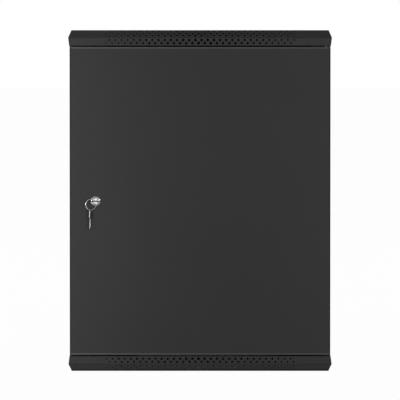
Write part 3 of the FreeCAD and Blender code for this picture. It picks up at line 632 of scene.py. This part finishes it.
class Finishes:
    """Every finish of the cabinet, built once, and the CAD slots that take them.

    OWN names the nodes whose finish isn't that of their slot.
    """

    OWN = {"door_panel": "door_coat", "lower_hinge_pin": "powder_coat"}

    def __init__(self) -> None:
        """Builds the materials."""
        effects = Effects()
        plating = {
            "chrome": PlatedMetal("bright_chrome", (0.38, 0.38, 0.39, 1),
                                  (0.26, 0.26, 0.27, 1), (0.12, 0.24)),
            "plug_chrome": PlatedMetal("rubbed_chrome", (0.26, 0.26, 0.26, 1),
                                       (0.17, 0.17, 0.17, 1), (0.24, 0.40)),
            "nickel": PlatedMetal("nickel_plate", (0.27, 0.267, 0.260, 1),
                                  (0.18, 0.177, 0.172, 1), (0.20, 0.34)),
            # nickel with painted shade on the key's upright edges
            "stamped_nickel": PlatedMetal("stamped_nickel", (0.42, 0.415, 0.405, 1),
                                          (0.26, 0.255, 0.25, 1), (0.20, 0.34),
                                          edge_shade_share=0.95),
            "zinc_fastener": PlatedMetal("bright_zinc", (0.40, 0.41, 0.43, 1),
                                         (0.26, 0.27, 0.28, 1), (0.30, 0.46), scale=600.0,
                                         stretch=4.0),
        }
        self.by_slot: dict[str, bpy.types.Material] = {
            slot: finish.build(effects) for slot, finish in plating.items()}
        self.by_slot["powder_coat"] = PowderCoat().build(effects)
        # the door's coat carries a painted highlight on its top and bottom folds
        self.by_slot["door_coat"] = PowderCoat("door_powder_coat", fold_highlight_share=0.85).build(effects)
        self.by_slot["zinc_rail"] = GalvanisedSheet().build(effects)
        self.by_slot["rubber"] = Rubber().build(effects)

    def dress_nodes(self, nodes: dict[str, bpy.types.Object], record: dict) -> None:
        """Gives each CAD node the finish of its slot.

        Args:
            nodes: the CAD nodes by name.
            record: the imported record.
        """
        slots = {part["node"]: part["material_slot"] for part in record["subparts"]}
        for name, node in nodes.items():
            finish = self.OWN.get(name, slots[name])
            node.data.materials.clear()
            node.data.materials.append(self.by_slot[finish])
            LOG.info("%s takes %s", name, finish)


# ---------------------------------------------------------------- mesh helpers


class Body(Enum):
    """The CAD bodies that new pieces ride on."""

    ROOT = "root"
    DOOR = "door"
    KEY = "key"
    KEY_RING = "key_ring"
    SPARE_KEY = "spare_key"
    SIDE_PANEL_LEFT = "side_panel_left"
    SIDE_PANEL_RIGHT = "side_panel_right"


def put_in_scene(name: str, data: bpy.types.ID) -> bpy.types.Object:
    """Adds an object that shows a mesh, a light or a camera.

    Args:
        name: the object's name.
        data: what it shows.

    Returns:
        The new object.
    """
    made = bpy.data.objects.new(name, data)
    bpy.context.scene.collection.objects.link(made)
    return made


def as_object(mesh: bmesh.types.BMesh, name: str) -> bpy.types.Object:
    """Turns a bmesh, which is freed, into an object of the scene.

    Args:
        mesh: the shape.
        name: the object's name.

    Returns:
        The new object.
    """
    data = bpy.data.meshes.new(name)
    mesh.to_mesh(data)
    mesh.free()
    return put_in_scene(name, data)


def add_piece(mesh: bmesh.types.BMesh, name: str, body: Body, slot: str, finishes: Finishes,
              replaced: Iterable[str], finish: str = "") -> bpy.types.Object:
    """Turns a bmesh into a finished piece that rides on its body.

    Args:
        mesh: the shape, which is freed.
        name: the piece's name.
        body: the body that it moves with.
        slot: the record's material slot.
        finishes: the cabinet's finishes.
        replaced: the CAD nodes that it stands for.
        finish: a finish of its own, where it isn't the slot's.

    Returns:
        The new object.
    """
    piece = as_object(mesh, name)
    piece.data.materials.append(finishes.by_slot[finish or slot])
    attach(piece, body.value)
    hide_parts(*replaced)
    LOG.info("%s built with %d faces", name, len(piece.data.polygons))
    return piece


def clean(mesh: bmesh.types.BMesh, distance: float = TOUCH) -> None:
    """Merges doubles and turns every face outwards."""
    bmesh.ops.remove_doubles(mesh, verts=mesh.verts, dist=distance)
    bmesh.ops.recalc_face_normals(mesh, faces=mesh.faces)


def smooth_where(mesh: bmesh.types.BMesh, curved: Callable[[bmesh.types.BMFace], bool]) -> None:
    """Shades smooth the faces that lie on a bend, and leaves flats flat."""
    for face in mesh.faces:
        face.smooth = curved(face)


def turned_profile(points: Sequence[tuple[float, float]], steps: int) -> bmesh.types.BMesh:
    """Spins a closed outline of (radius, depth) about the Y axis.

    Args:
        points: the outline, in order.
        steps: number of steps round the axis.

    Returns:
        The turned shape.
    """
    mesh = bmesh.new()
    verts = [mesh.verts.new((radius, depth, 0)) for radius, depth in points]
    edges = [mesh.edges.new(pair) for pair in zip(verts, verts[1:] + verts[:1])]
    bmesh.ops.spin(mesh, geom=verts + edges, cent=(0, 0, 0), axis=Y_AXIS, angle=2 * math.pi,
                   steps=steps, use_merge=True)
    clean(mesh)
    return mesh


def put(mesh: bmesh.types.BMesh, place: Matrix) -> None:
    """Moves a whole shape to its place."""
    bmesh.ops.transform(mesh, matrix=place, verts=mesh.verts)


def modified(mesh: bmesh.types.BMesh,
             add: Callable[[bpy.types.Object], None]) -> bmesh.types.BMesh:
    """Runs modifiers on a shape and returns the result.

    Args:
        mesh: the shape, which is freed.
        add: adds the modifiers to a temporary object.

    Returns:
        The finished shape.
    """
    worker = as_object(mesh, "work")
    add(worker)
    graph = bpy.context.evaluated_depsgraph_get()
    result = bmesh.new()
    result.from_mesh(bpy.data.meshes.new_from_object(worker.evaluated_get(graph)))
    bpy.data.objects.remove(worker)
    return result


def wind(mesh: bmesh.types.BMesh, axis: Vector, turns: float, steps: int, rise: float) -> None:
    """Winds a wire's end face round an axis through the origin.

    Args:
        mesh: the wire's end face, which becomes the coil.
        axis: the coil's axis, of unit length.
        turns: number of turns.
        steps: number of steps in all.
        rise: way along the axis in one step.
    """
    section = list(mesh.verts) + list(mesh.edges) + list(mesh.faces)
    bmesh.ops.spin(mesh, geom=section, cent=(0, 0, 0), axis=axis, dvec=axis * rise,
                   angle=2 * math.pi * turns, steps=steps, use_merge=False)
    clean(mesh, TOUCH / 10)
    smooth_where(mesh, lambda face: True)


# ---------------------------------------------------------------- sub-assemblies


@dataclass
class PerforatedVisor:
    """Folded hood above the door, and its mirror image below, with graded round vents.

    The four shares are parts of the bend radius. flat_match and end_match are cosines, past
    which a face is taken to lie on a flat or on an end.
    """

    half_width: float = 0.300
    mouth_inset: float = 0.0023
    tip_inset: float = 0.0067
    front: float = -0.450
    back: float = -0.424
    mouth: float = 0.3535
    crease: float = 0.3719
    top: float = 0.389
    slope_depth: float = 0.0227
    lip: float = 0.014
    duct_sill: float = 0.003
    sheet: float = 0.0012
    bend: float = 0.0040
    pitch: float = 0.014
    row_step: float = 0.007
    first_row: float = 0.0053
    count: int = 31
    large: float = 0.0066
    small: float = 0.0040
    face_rows: tuple = (0, 1)
    slope_rows: tuple = (-2, -3, -4)
    vent_steps: int = 18
    punch_depth: float = 0.005
    hinge: tuple = (0.286, -0.440)
    hinge_radius: float = 0.00305
    hinge_steps: int = 32
    tab_reach: float = 0.0019
    tab_width: float = 0.0050
    bend_steps: int = 6
    crease_share: float = 0.45
    top_share: float = 0.33
    mouth_share: float = 0.45
    end_share: float = 0.8
    flat_match: float = 0.9995
    end_match: float = 0.985
    smallest_flat: float = 2e-6

    def closed_block(self) -> bmesh.types.BMesh:
        """Closed block of the hood: a section drawn along X, its ends drawn in.

        Returns:
            The block.
        """
        mesh = bmesh.new()
        section = [(self.back, self.mouth), (self.front, self.mouth), (self.front, self.crease),
                   (self.front + self.slope_depth, self.top), (self.back, self.top),
                   (self.back, self.crease)]
        verts = [mesh.verts.new((-1, y, z)) for y, z in section]
        face = mesh.faces.new(verts)
        moved = bmesh.ops.extrude_face_region(mesh, geom=[face])["geom"]
        bmesh.ops.translate(mesh, vec=(2, 0, 0),
                            verts=[item for item in moved if isinstance(item, bmesh.types.BMVert)])
        reach = {round(self.mouth, 5): self.half_width - self.mouth_inset,
                 round(self.crease, 5): self.half_width,
                 round(self.top, 5): self.half_width - self.tip_inset}
        for vert in mesh.verts:
            vert.co.x *= reach[round(vert.co.z, 5)]
        for side in (-1, 1):
            pair = [vert for vert in mesh.verts
                    if abs(vert.co.z - self.crease) < TOUCH and vert.co.x * side > 0]
            bmesh.ops.connect_verts(mesh, verts=pair)
        clean(mesh)
        return mesh

    def edge_weight(self, edge: bmesh.types.BMEdge) -> float:
        """Share of the bend radius that an edge's bevel takes: none at the open back.

        Args:
            edge: an edge of the closed block.

        Returns:
            The share, from 0 to 1.
        """
        first, second = (vert.co for vert in edge.verts)
        if max(first.y, second.y) > self.back - TOUCH:
            return 0.0
        along = abs(first.x - second.x) > self.half_width
        if along and abs(first.z - self.crease) < TOUCH:
            return self.crease_share
        if along and abs(first.z - self.top) < TOUCH:
            return self.top_share
        return self.mouth_share if along else self.end_share

    def bent_sheet(self) -> bmesh.types.BMesh:
        """Hollow folded sheet with rounded bends, open at the back above its lip.

        Returns:
            The sheet, without its vents.
        """
        mesh = self.closed_block()
        weights = mesh.edges.layers.float.new("bevel_weight_edge")
        for edge in mesh.edges:
            edge[weights] = self.edge_weight(edge)

        def bevel(worker: bpy.types.Object) -> None:
            """Rounds the weighted edges.

            Args:
                worker: the temporary object.
            """
            step = worker.modifiers.new("bends", "BEVEL")
            step.limit_method = "WEIGHT"
            step.width = self.bend
            step.segments = self.bend_steps
            step.profile = 0.5

        mesh = modified(mesh, bevel)
        lip_edge = self.mouth + self.lip
        bmesh.ops.bisect_plane(mesh, geom=list(mesh.verts) + list(mesh.edges) + list(mesh.faces),
                               plane_co=(0, 0, lip_edge), plane_no=(0, 0, 1))
        open_faces = [face for face in mesh.faces
                      if face.normal.y > self.end_match and face.calc_center_median().z > lip_edge]
        bmesh.ops.delete(mesh, geom=open_faces, context="FACES")

        def thicken(worker: bpy.types.Object) -> None:
            """Gives the sheet its thickness, inwards.

            Args:
                worker: the temporary object.
            """
            step = worker.modifiers.new("sheet", "SOLIDIFY")
            step.thickness = self.sheet
            step.offset = -1
            step.use_even_offset = True

        return modified(mesh, thicken)

    def vent_diameter(self, x: float) -> float:
        """Vent size across a row: its area falls evenly from the middle to the ends.

        Args:
            x: the vent's place.

        Returns:
            Its diameter.
        """
        end = self.pitch * (self.count - 0.5) / 2
        share = min(abs(x) / end, 1)
        return math.sqrt(self.large ** 2 - (self.large ** 2 - self.small ** 2) * share)

    def punches(self) -> bmesh.types.BMesh:
        """Every punch of the vent field, the hinge pin's hole and the duct, as one mesh.

        Returns:
            The punches, to be taken out of the sheet.
        """
        mesh = bmesh.new()
        foot = Vector((0, self.front, self.crease))
        slope = Vector((0, self.slope_depth, self.top - self.crease)).normalized()
        fields = ((self.face_rows, Z_AXIS), (self.slope_rows, slope))
        for rows, run in fields:
            normal = X_AXIS.cross(run)
            turn = Z_AXIS.rotation_difference(normal).to_matrix().to_4x4()
            for row in rows:
                distance = self.first_row + self.row_step * row
                shift = self.pitch / 4 * (1 if row % 2 == 0 else -1)
                for index in range(self.count):
                    x = (index - (self.count - 1) / 2) * self.pitch + shift
                    centre = foot - run * distance + X_AXIS * x
                    radius = self.vent_diameter(x) / 2
                    bmesh.ops.create_cone(mesh, cap_ends=True, segments=self.vent_steps,
                                          radius1=radius, radius2=radius,
                                          depth=self.punch_depth,
                                          matrix=Matrix.Translation(centre) @ turn)
        bmesh.ops.create_cone(mesh, cap_ends=True, segments=self.hinge_steps,
                              radius1=self.hinge_radius, radius2=self.hinge_radius,
                              depth=self.punch_depth,
                              matrix=Matrix.Translation((*self.hinge, self.mouth)))
        duct = Matrix.Translation((0, self.back, self.mouth + self.duct_sill + self.lip))
        duct @= Matrix.Diagonal((self.pitch * self.count, 4 * self.sheet, 2 * self.lip, 1))
        bmesh.ops.create_cube(mesh, size=1.0, matrix=duct)
        return mesh

    def punched(self) -> bmesh.types.BMesh:
        """The bent sheet with every vent punched out.

        Returns:
            The sheet.
        """
        cutter = as_object(self.punches(), "punches")

        def punch(worker: bpy.types.Object) -> None:
            """Takes the punches out of the sheet.

            Args:
                worker: the temporary object.
            """
            step = worker.modifiers.new("vents", "BOOLEAN")
            step.operation = "DIFFERENCE"
            step.solver = "EXACT"
            step.object = cutter

        mesh = modified(self.bent_sheet(), punch)
        bpy.data.objects.remove(cutter)
        return mesh

    def add_end_tabs(self, mesh: bmesh.types.BMesh) -> None:
        """Adds the small tabs at the back that close the ends of the slit over the door.

        Args:
            mesh: the sheet, which gets them.
        """
        height = self.tab_reach + self.sheet
        place = Vector((self.half_width - self.mouth_inset - self.tab_width / 2,
                        self.back - self.sheet / 2, self.mouth - self.tab_reach + height / 2))
        for side in (-1, 1):
            spot = Matrix.Translation((place.x * side, place.y, place.z))
            spot @= Matrix.Diagonal((self.tab_width, self.sheet, height, 1))
            bmesh.ops.create_cube(mesh, size=1.0, matrix=spot)

    def on_bend(self, face: bmesh.types.BMFace) -> bool:
        """Whether a face lies on a bend or a vent's wall, and not on a flat.

        Args:
            face: a face of the punched sheet.

        Returns:
            True if it is shaded smooth.
        """
        slope = Vector((0, self.top - self.crease, self.slope_depth)).normalized()
        flats = (Y_AXIS, Z_AXIS, Vector((0, -slope.y, slope.z)))
        if any(abs(face.normal.dot(flat)) > self.flat_match for flat in flats):
            return False
        return abs(face.normal.x) < self.end_match or face.calc_area() < self.smallest_flat

    def build(self, finishes: Finishes) -> None:
        """Adds both visors.

        Args:
            finishes: the cabinet's finishes.
        """
        mesh = self.punched()
        self.add_end_tabs(mesh)
        smooth_where(mesh, self.on_bend)
        below = mesh.copy()
        put(below, Matrix.Scale(-1, 4, Z_AXIS))
        bmesh.ops.reverse_faces(below, faces=below.faces)
        for sheet, node in ((mesh, "top_visor"), (below, "bottom_visor")):
            add_piece(sheet, f"{node}_sheet", Body.ROOT, "powder_coat", finishes, [node])


@dataclass
class CamLockHousing:
    """Turned lock housing with a rolled rim, a sunk face, a threaded barrel and two flats.

    mouth holds (way out from the bore, depth) and face holds (radius, depth), both from the
    face's plane inwards. Past the cosines face_match and flat_match, a face is left flat.
    """

    rim_radius: float = 0.011
    face_depth: float = 0.003
    bore_radius: float = 0.00608
    barrel_radius: float = 0.0085
    flat: float = 0.0083
    pitch: float = 0.0012
    thread_start: float = 0.0016
    thread_depth: float = 0.0005
    rim_top: float = 0.0020
    rim_edge: float = 0.0002
    flat_match: float = 0.9999
    face_match: float = 0.999
    steps: int = 72
    mouth: tuple = ((0.0, 0.0006), (0.0003, 0.0001))
    face: tuple = ((0.0068, 0.0001), (0.0071, 0.0003), (0.0080, 0.0017), (0.0088, 0.0004),
                   (0.0092, 0.0001), (0.0096, 0.0), (0.0100, 0.0001), (0.0105, 0.0005),
                   (0.01088, 0.0012))

    def outline(self, reach: float) -> list[tuple[float, float]]:
        """Half section of the housing, from the bore's mouth outwards and back.

        Args:
            reach: depth of the barrel's end behind the panel's face.

        Returns:
            Points of (radius, depth).
        """
        front = -self.face_depth
        points = [(self.bore_radius + step, front + depth) for step, depth in self.mouth]
        points += [(radius, front + depth) for radius, depth in self.face]
        points += [(self.rim_radius, front + self.rim_top), (self.rim_radius, -self.rim_edge),
                   (self.rim_radius - self.rim_edge, 0.0), (self.barrel_radius, 0.0)]
        depth = self.thread_start
        while depth + self.pitch < reach:
            points.append((self.barrel_radius, depth))
            points.append((self.barrel_radius - self.thread_depth, depth + self.pitch / 2))
            depth += self.pitch
        points.append((self.barrel_radius - self.thread_depth, reach))
        points.append((self.bore_radius, reach))
        return points

    def build(self, finishes: Finishes, name: str, body: Body, place: Matrix, reach: float,
              node: str) -> None:
        """Adds one housing.

        Args:
            finishes: the cabinet's finishes.
            name: the piece's name.
            body: the body that it moves with.
            place: where its face's centre goes.
            reach: depth of the barrel's end.
            node: the CAD node that it stands for.
        """
        mesh = turned_profile(self.outline(reach), self.steps)
        for vert in mesh.verts:
            if vert.co.y > 10 * TOUCH:
                vert.co.x = max(-self.flat, min(self.flat, vert.co.x))
        smooth_where(mesh, lambda face: abs(face.normal.y) < self.face_match
                     and abs(face.normal.x) < self.flat_match)
        put(mesh, place)
        add_piece(mesh, name, body, "chrome", finishes, [node])


@dataclass
class CamLocks:
    """The housings of the door's lock and of the side panels' locks."""

    door_place: tuple = (-0.238, -0.448, 0.0)
    door_reach: float = 0.0255
    side_place: tuple = (0.294, -0.212, 0.261)
    side_reach: float = 0.0150
    housing: CamLockHousing = field(default_factory=CamLockHousing)

    def build(self, finishes: Finishes) -> None:
        """Adds the three housings.

        Args:
            finishes: the cabinet's finishes.
        """
        self.housing.build(finishes, "door_lock_housing", Body.DOOR,
                           Matrix.Translation(self.door_place), self.door_reach, "lock_body")
        x, y, z = self.side_place
        for side, sign, body in (("right", 1, Body.SIDE_PANEL_RIGHT),
                                 ("left", -1, Body.SIDE_PANEL_LEFT)):
            place = Matrix.Translation((sign * x, y, z))
            place @= Matrix.Rotation(sign * math.pi / 2, 4, Z_AXIS)
            self.housing.build(finishes, f"side_lock_housing_{side}", body, place, self.side_reach,
                               f"side_lock_body_{side}")


@dataclass
class SplitRing:
    """Flat-wire split ring that carries the keys."""

    centre: Vector
    radius: float = 0.0119
    wire: float = 0.0011
    thickness: float = 0.00038
    pitch: float = 0.00042
    turns: float = 1.92
    steps: int = 140
    wire_sides: int = 8
    start_angle: float = 70.0

    def build(self, finishes: Finishes) -> None:
        """Adds the ring: a small rounded section spun nearly twice round, drifting sideways.

        Args:
            finishes: the cabinet's finishes.
        """
        mesh = bmesh.new()
        bmesh.ops.create_circle(mesh, cap_ends=True, segments=self.wire_sides,
                                radius=self.wire / 2)
        put(mesh, Matrix.Diagonal((1, self.thickness / self.wire, 1, 1)))
        put(mesh, Matrix.Translation((self.radius, -self.pitch * self.turns / 2, 0)))
        wind(mesh, Y_AXIS, self.turns, self.steps, self.pitch * self.turns / self.steps)
        turn = Matrix.Rotation(math.radians(self.start_angle), 4, Y_AXIS)
        put(mesh, Matrix.Translation(self.centre) @ turn)
        add_piece(mesh, "split_ring", Body.KEY_RING, "nickel", finishes, ["key_ring"])


@dataclass
class HingeSpring:
    """Compression spring round the upper hinge pin."""

    foot: float
    axis: tuple = (0.286, -0.440)
    length: float = 0.022
    travel: float = 0.008
    radius: float = 0.0040
    wire: float = 0.0010
    turns: float = 8.5
    steps_per_turn: int = 28
    wire_sides: int = 8

    def build(self, finishes: Finishes) -> None:
        """Adds the coil.

        Args:
            finishes: the cabinet's finishes.
        """
        mesh = bmesh.new()
        bmesh.ops.create_circle(mesh, cap_ends=True, segments=self.wire_sides,
                                radius=self.wire / 2)
        put(mesh, Matrix.Rotation(math.pi / 2, 4, X_AXIS))
        put(mesh, Matrix.Translation((self.radius, 0, self.wire / 2)))
        steps = int(self.turns * self.steps_per_turn)
        wind(mesh, Z_AXIS, self.turns, steps, (self.length - self.wire) / steps)
        put(mesh, Matrix.Translation((*self.axis, self.foot)))
        spring = add_piece(mesh, "hinge_coil_spring", Body.DOOR, "zinc_fastener", finishes,
                           ["hinge_spring"])
        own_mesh(spring)


@dataclass
class SoftenedMetal:
    """Small CAD pieces with their sharp edges rolled over."""

    width: float = 0.00025
    segments: int = 2
    curve_angle: float = 1.0
    sharp_angle: float = 50.0
    slot: str = "nickel"
    # the key takes the nickel with painted shade on its upright edges
    pieces: tuple = (("key", Body.KEY, "stamped_nickel"), ("spare_key", Body.SPARE_KEY, "nickel"))

    def build(self, finishes: Finishes, nodes: dict[str, bpy.types.Object]) -> None:
        """Adds a bevelled copy of each piece.

        Args:
            finishes: the cabinet's finishes.
            nodes: the CAD nodes by name.
        """
        for node, body, finish in self.pieces:
            mesh = bmesh.new()
            mesh.from_mesh(nodes[node].data)
            bmesh.ops.remove_doubles(mesh, verts=mesh.verts, dist=TOUCH)
            bmesh.ops.dissolve_limit(mesh, angle_limit=math.radians(self.curve_angle),
                                     verts=mesh.verts, edges=mesh.edges)
            limit = math.radians(self.sharp_angle)
            sharp = [edge for edge in mesh.edges
                     if len(edge.link_faces) == 2 and edge.calc_face_angle() > limit]
            bmesh.ops.bevel(mesh, geom=sharp, offset=self.width, offset_type="OFFSET",
                            segments=self.segments, profile=0.5, affect="EDGES", material=-1,
                            clamp_overlap=True)
            add_piece(mesh, f"{node}_blank", body, self.slot, finishes, [node], finish)


# ---------------------------------------------------------------- studio


def facing(place: Vector, aim: Vector) -> Matrix:
    """Place and turn of a light or camera that looks at a point.

    Args:
        place: where it stands.
        aim: the point that it faces.

    Returns:
        Its matrix.
    """
    turn = (place - aim).to_track_quat("Z", "Y").to_matrix().to_4x4()
    return Matrix.Translation(place) @ turn


@dataclass(frozen=True)
class SoftLight:
    """Rectangular studio light: power in watts, spread of its grid in degrees."""

    name: str
    place: tuple
    aim: tuple
    size: tuple
    power: float
    spread: float = 180.0

    def build(self) -> None:
        """Adds the light, unseen by the camera."""
        data = bpy.data.lights.new(self.name, "AREA")
        data.shape = "RECTANGLE"
        data.size, data.size_y = self.size
        data.energy = self.power
        data.spread = math.radians(self.spread)
        light = put_in_scene(self.name, data)
        light.matrix_world = facing(Vector(self.place), Vector(self.aim))
        light.visible_camera = False
        LOG.info("light %s set", self.name)


@dataclass
class Studio:
    """Pale floor, white surroundings, soft lights and the long-lens camera."""

    floor_level: float = -0.389
    floor_size: float = 60.0
    floor_colour: tuple = (0.86, 0.86, 0.86, 1.0)
    floor_glow: float = 0.98
    white: tuple = (1.0, 1.0, 1.0, 1.0)
    fill: float = 0.08
    distance: float = 10.0
    camera_level: float = 0.365
    target: tuple = (-0.00011, -0.450, 0.0026)
    lens: float = 395.6
    sensor_width: float = 36.0
    sight: float = 200.0
    lights: tuple = (
        SoftLight("front_softbox", (1.5, -8.4, 0.04), (0, -0.45, 0), (2.2, 0.8), 270.0),
        SoftLight("upper_right", (4.0, -8.0, 2.4), (0, -0.45, 0), (0.6, 0.6), 48.0),
        SoftLight("left_edge", (-2.6, -8.2, 0.0), (-2.0, -0.45, 0.0), (0.3, 0.3), 36.0, 28.6),
        SoftLight("rear_left", (-4.5, 4.5, 2.2), (0, -0.2, 0), (1.6, 1.2), 90.0),
        SoftLight("rear_right", (4.5, 4.5, 2.2), (0, -0.2, 0), (1.6, 1.2), 90.0),
    )

    @staticmethod
    def white_when_seen(shader: Shader) -> bpy.types.NodeSocket:
        """Tells rays that show a surface from those that light one.

        Args:
            shader: the world's or the floor's Shader.

        Returns:
            A mask that is 1 for camera, glossy and transmission rays.
        """
        path = shader.add("LightPath")
        seen = shader.math("MAXIMUM", path.outputs["Is Camera Ray"], path.outputs["Is Glossy Ray"])
        return shader.math("MAXIMUM", seen, path.outputs["Is Transmission Ray"])

    @staticmethod
    def blend(shader: Shader, share: bpy.types.NodeSocket, first: bpy.types.Node,
              second: bpy.types.Node, output: str) -> None:
        """Sends a mix of two shaders to the output.

        Args:
            shader: the world's or the floor's Shader.
            share: 0 for the first shader and 1 for the second.
            first: the first shader's node.
            second: the second shader's node.
            output: type of the output node.
        """
        mix = shader.add("MixShader")
        end = shader.add(output).inputs["Surface"]
        starts = (share, first.outputs[0], second.outputs[0])
        for start, socket in zip(starts, mix.inputs):
            shader.join(start, socket)
        shader.join(mix.outputs[0], end)

    def build_world(self) -> None:
        """White surroundings with a weaker fill on matt surfaces."""
        world = bpy.data.worlds.new("studio")
        bpy.context.scene.world = world
        world.use_nodes = True
        shader = Shader(world.node_tree)
        back = shader.add("Background", color=self.white, strength=1.0)
        soft = shader.add("Background", color=self.white, strength=self.fill)
        self.blend(shader, self.white_when_seen(shader), soft, back, "OutputWorld")

    def build_floor(self) -> None:
        """Plain pale floor that keeps the cabinet's shadow."""
        mesh = bmesh.new()
        bmesh.ops.create_grid(mesh, x_segments=1, y_segments=1, size=self.floor_size)
        put(mesh, Matrix.Translation((0, 0, self.floor_level)))
        floor = as_object(mesh, "floor")
        material = bpy.data.materials.new("studio_floor")
        material.use_nodes = True
        shader = Shader(material.node_tree)
        matt = shader.add("BsdfDiffuse", color=self.floor_colour)
        glow = shader.add("Emission", color=self.white, strength=1.0)
        share = shader.math("MULTIPLY", self.white_when_seen(shader), self.floor_glow)
        self.blend(shader, share, matt, glow, "OutputMaterial")
        floor.data.materials.append(material)

    def build_camera(self) -> None:
        """Long lens, just under the level of the roof, so that only the front shows."""
        data = bpy.data.cameras.new("camera")
        data.lens = self.lens
        data.sensor_width = self.sensor_width
        data.clip_end = self.sight
        camera = put_in_scene("camera", data)
        target = Vector(self.target)
        place = Vector((target.x, target.y - self.distance, self.camera_level))
        camera.matrix_world = facing(place, target)
        bpy.context.scene.camera = camera

    def build(self) -> None:
        """Sets up the whole studio."""
        bpy.context.scene.view_settings.view_transform = "Standard"
        self.build_world()
        self.build_floor()
        for light in self.lights:
            light.build()
        self.build_camera()


def main() -> None:
    """Builds the cabinet's looks in order."""
    logging.basicConfig(level=logging.INFO, format="%(name)s: %(message)s")
    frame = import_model()
    finishes = Finishes()
    finishes.dress_nodes(frame["nodes"], frame["record"])
    PerforatedVisor().build(finishes)
    CamLocks().build(finishes)
    ring_low, ring_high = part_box("key_ring")
    SplitRing((ring_low + ring_high) / 2).build(finishes)
    HingeSpring(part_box("hinge_spring")[0].z).build(finishes)
    SoftenedMetal().build(finishes, frame["nodes"])
    Studio().build()


if __name__ == "__main__":
    main()
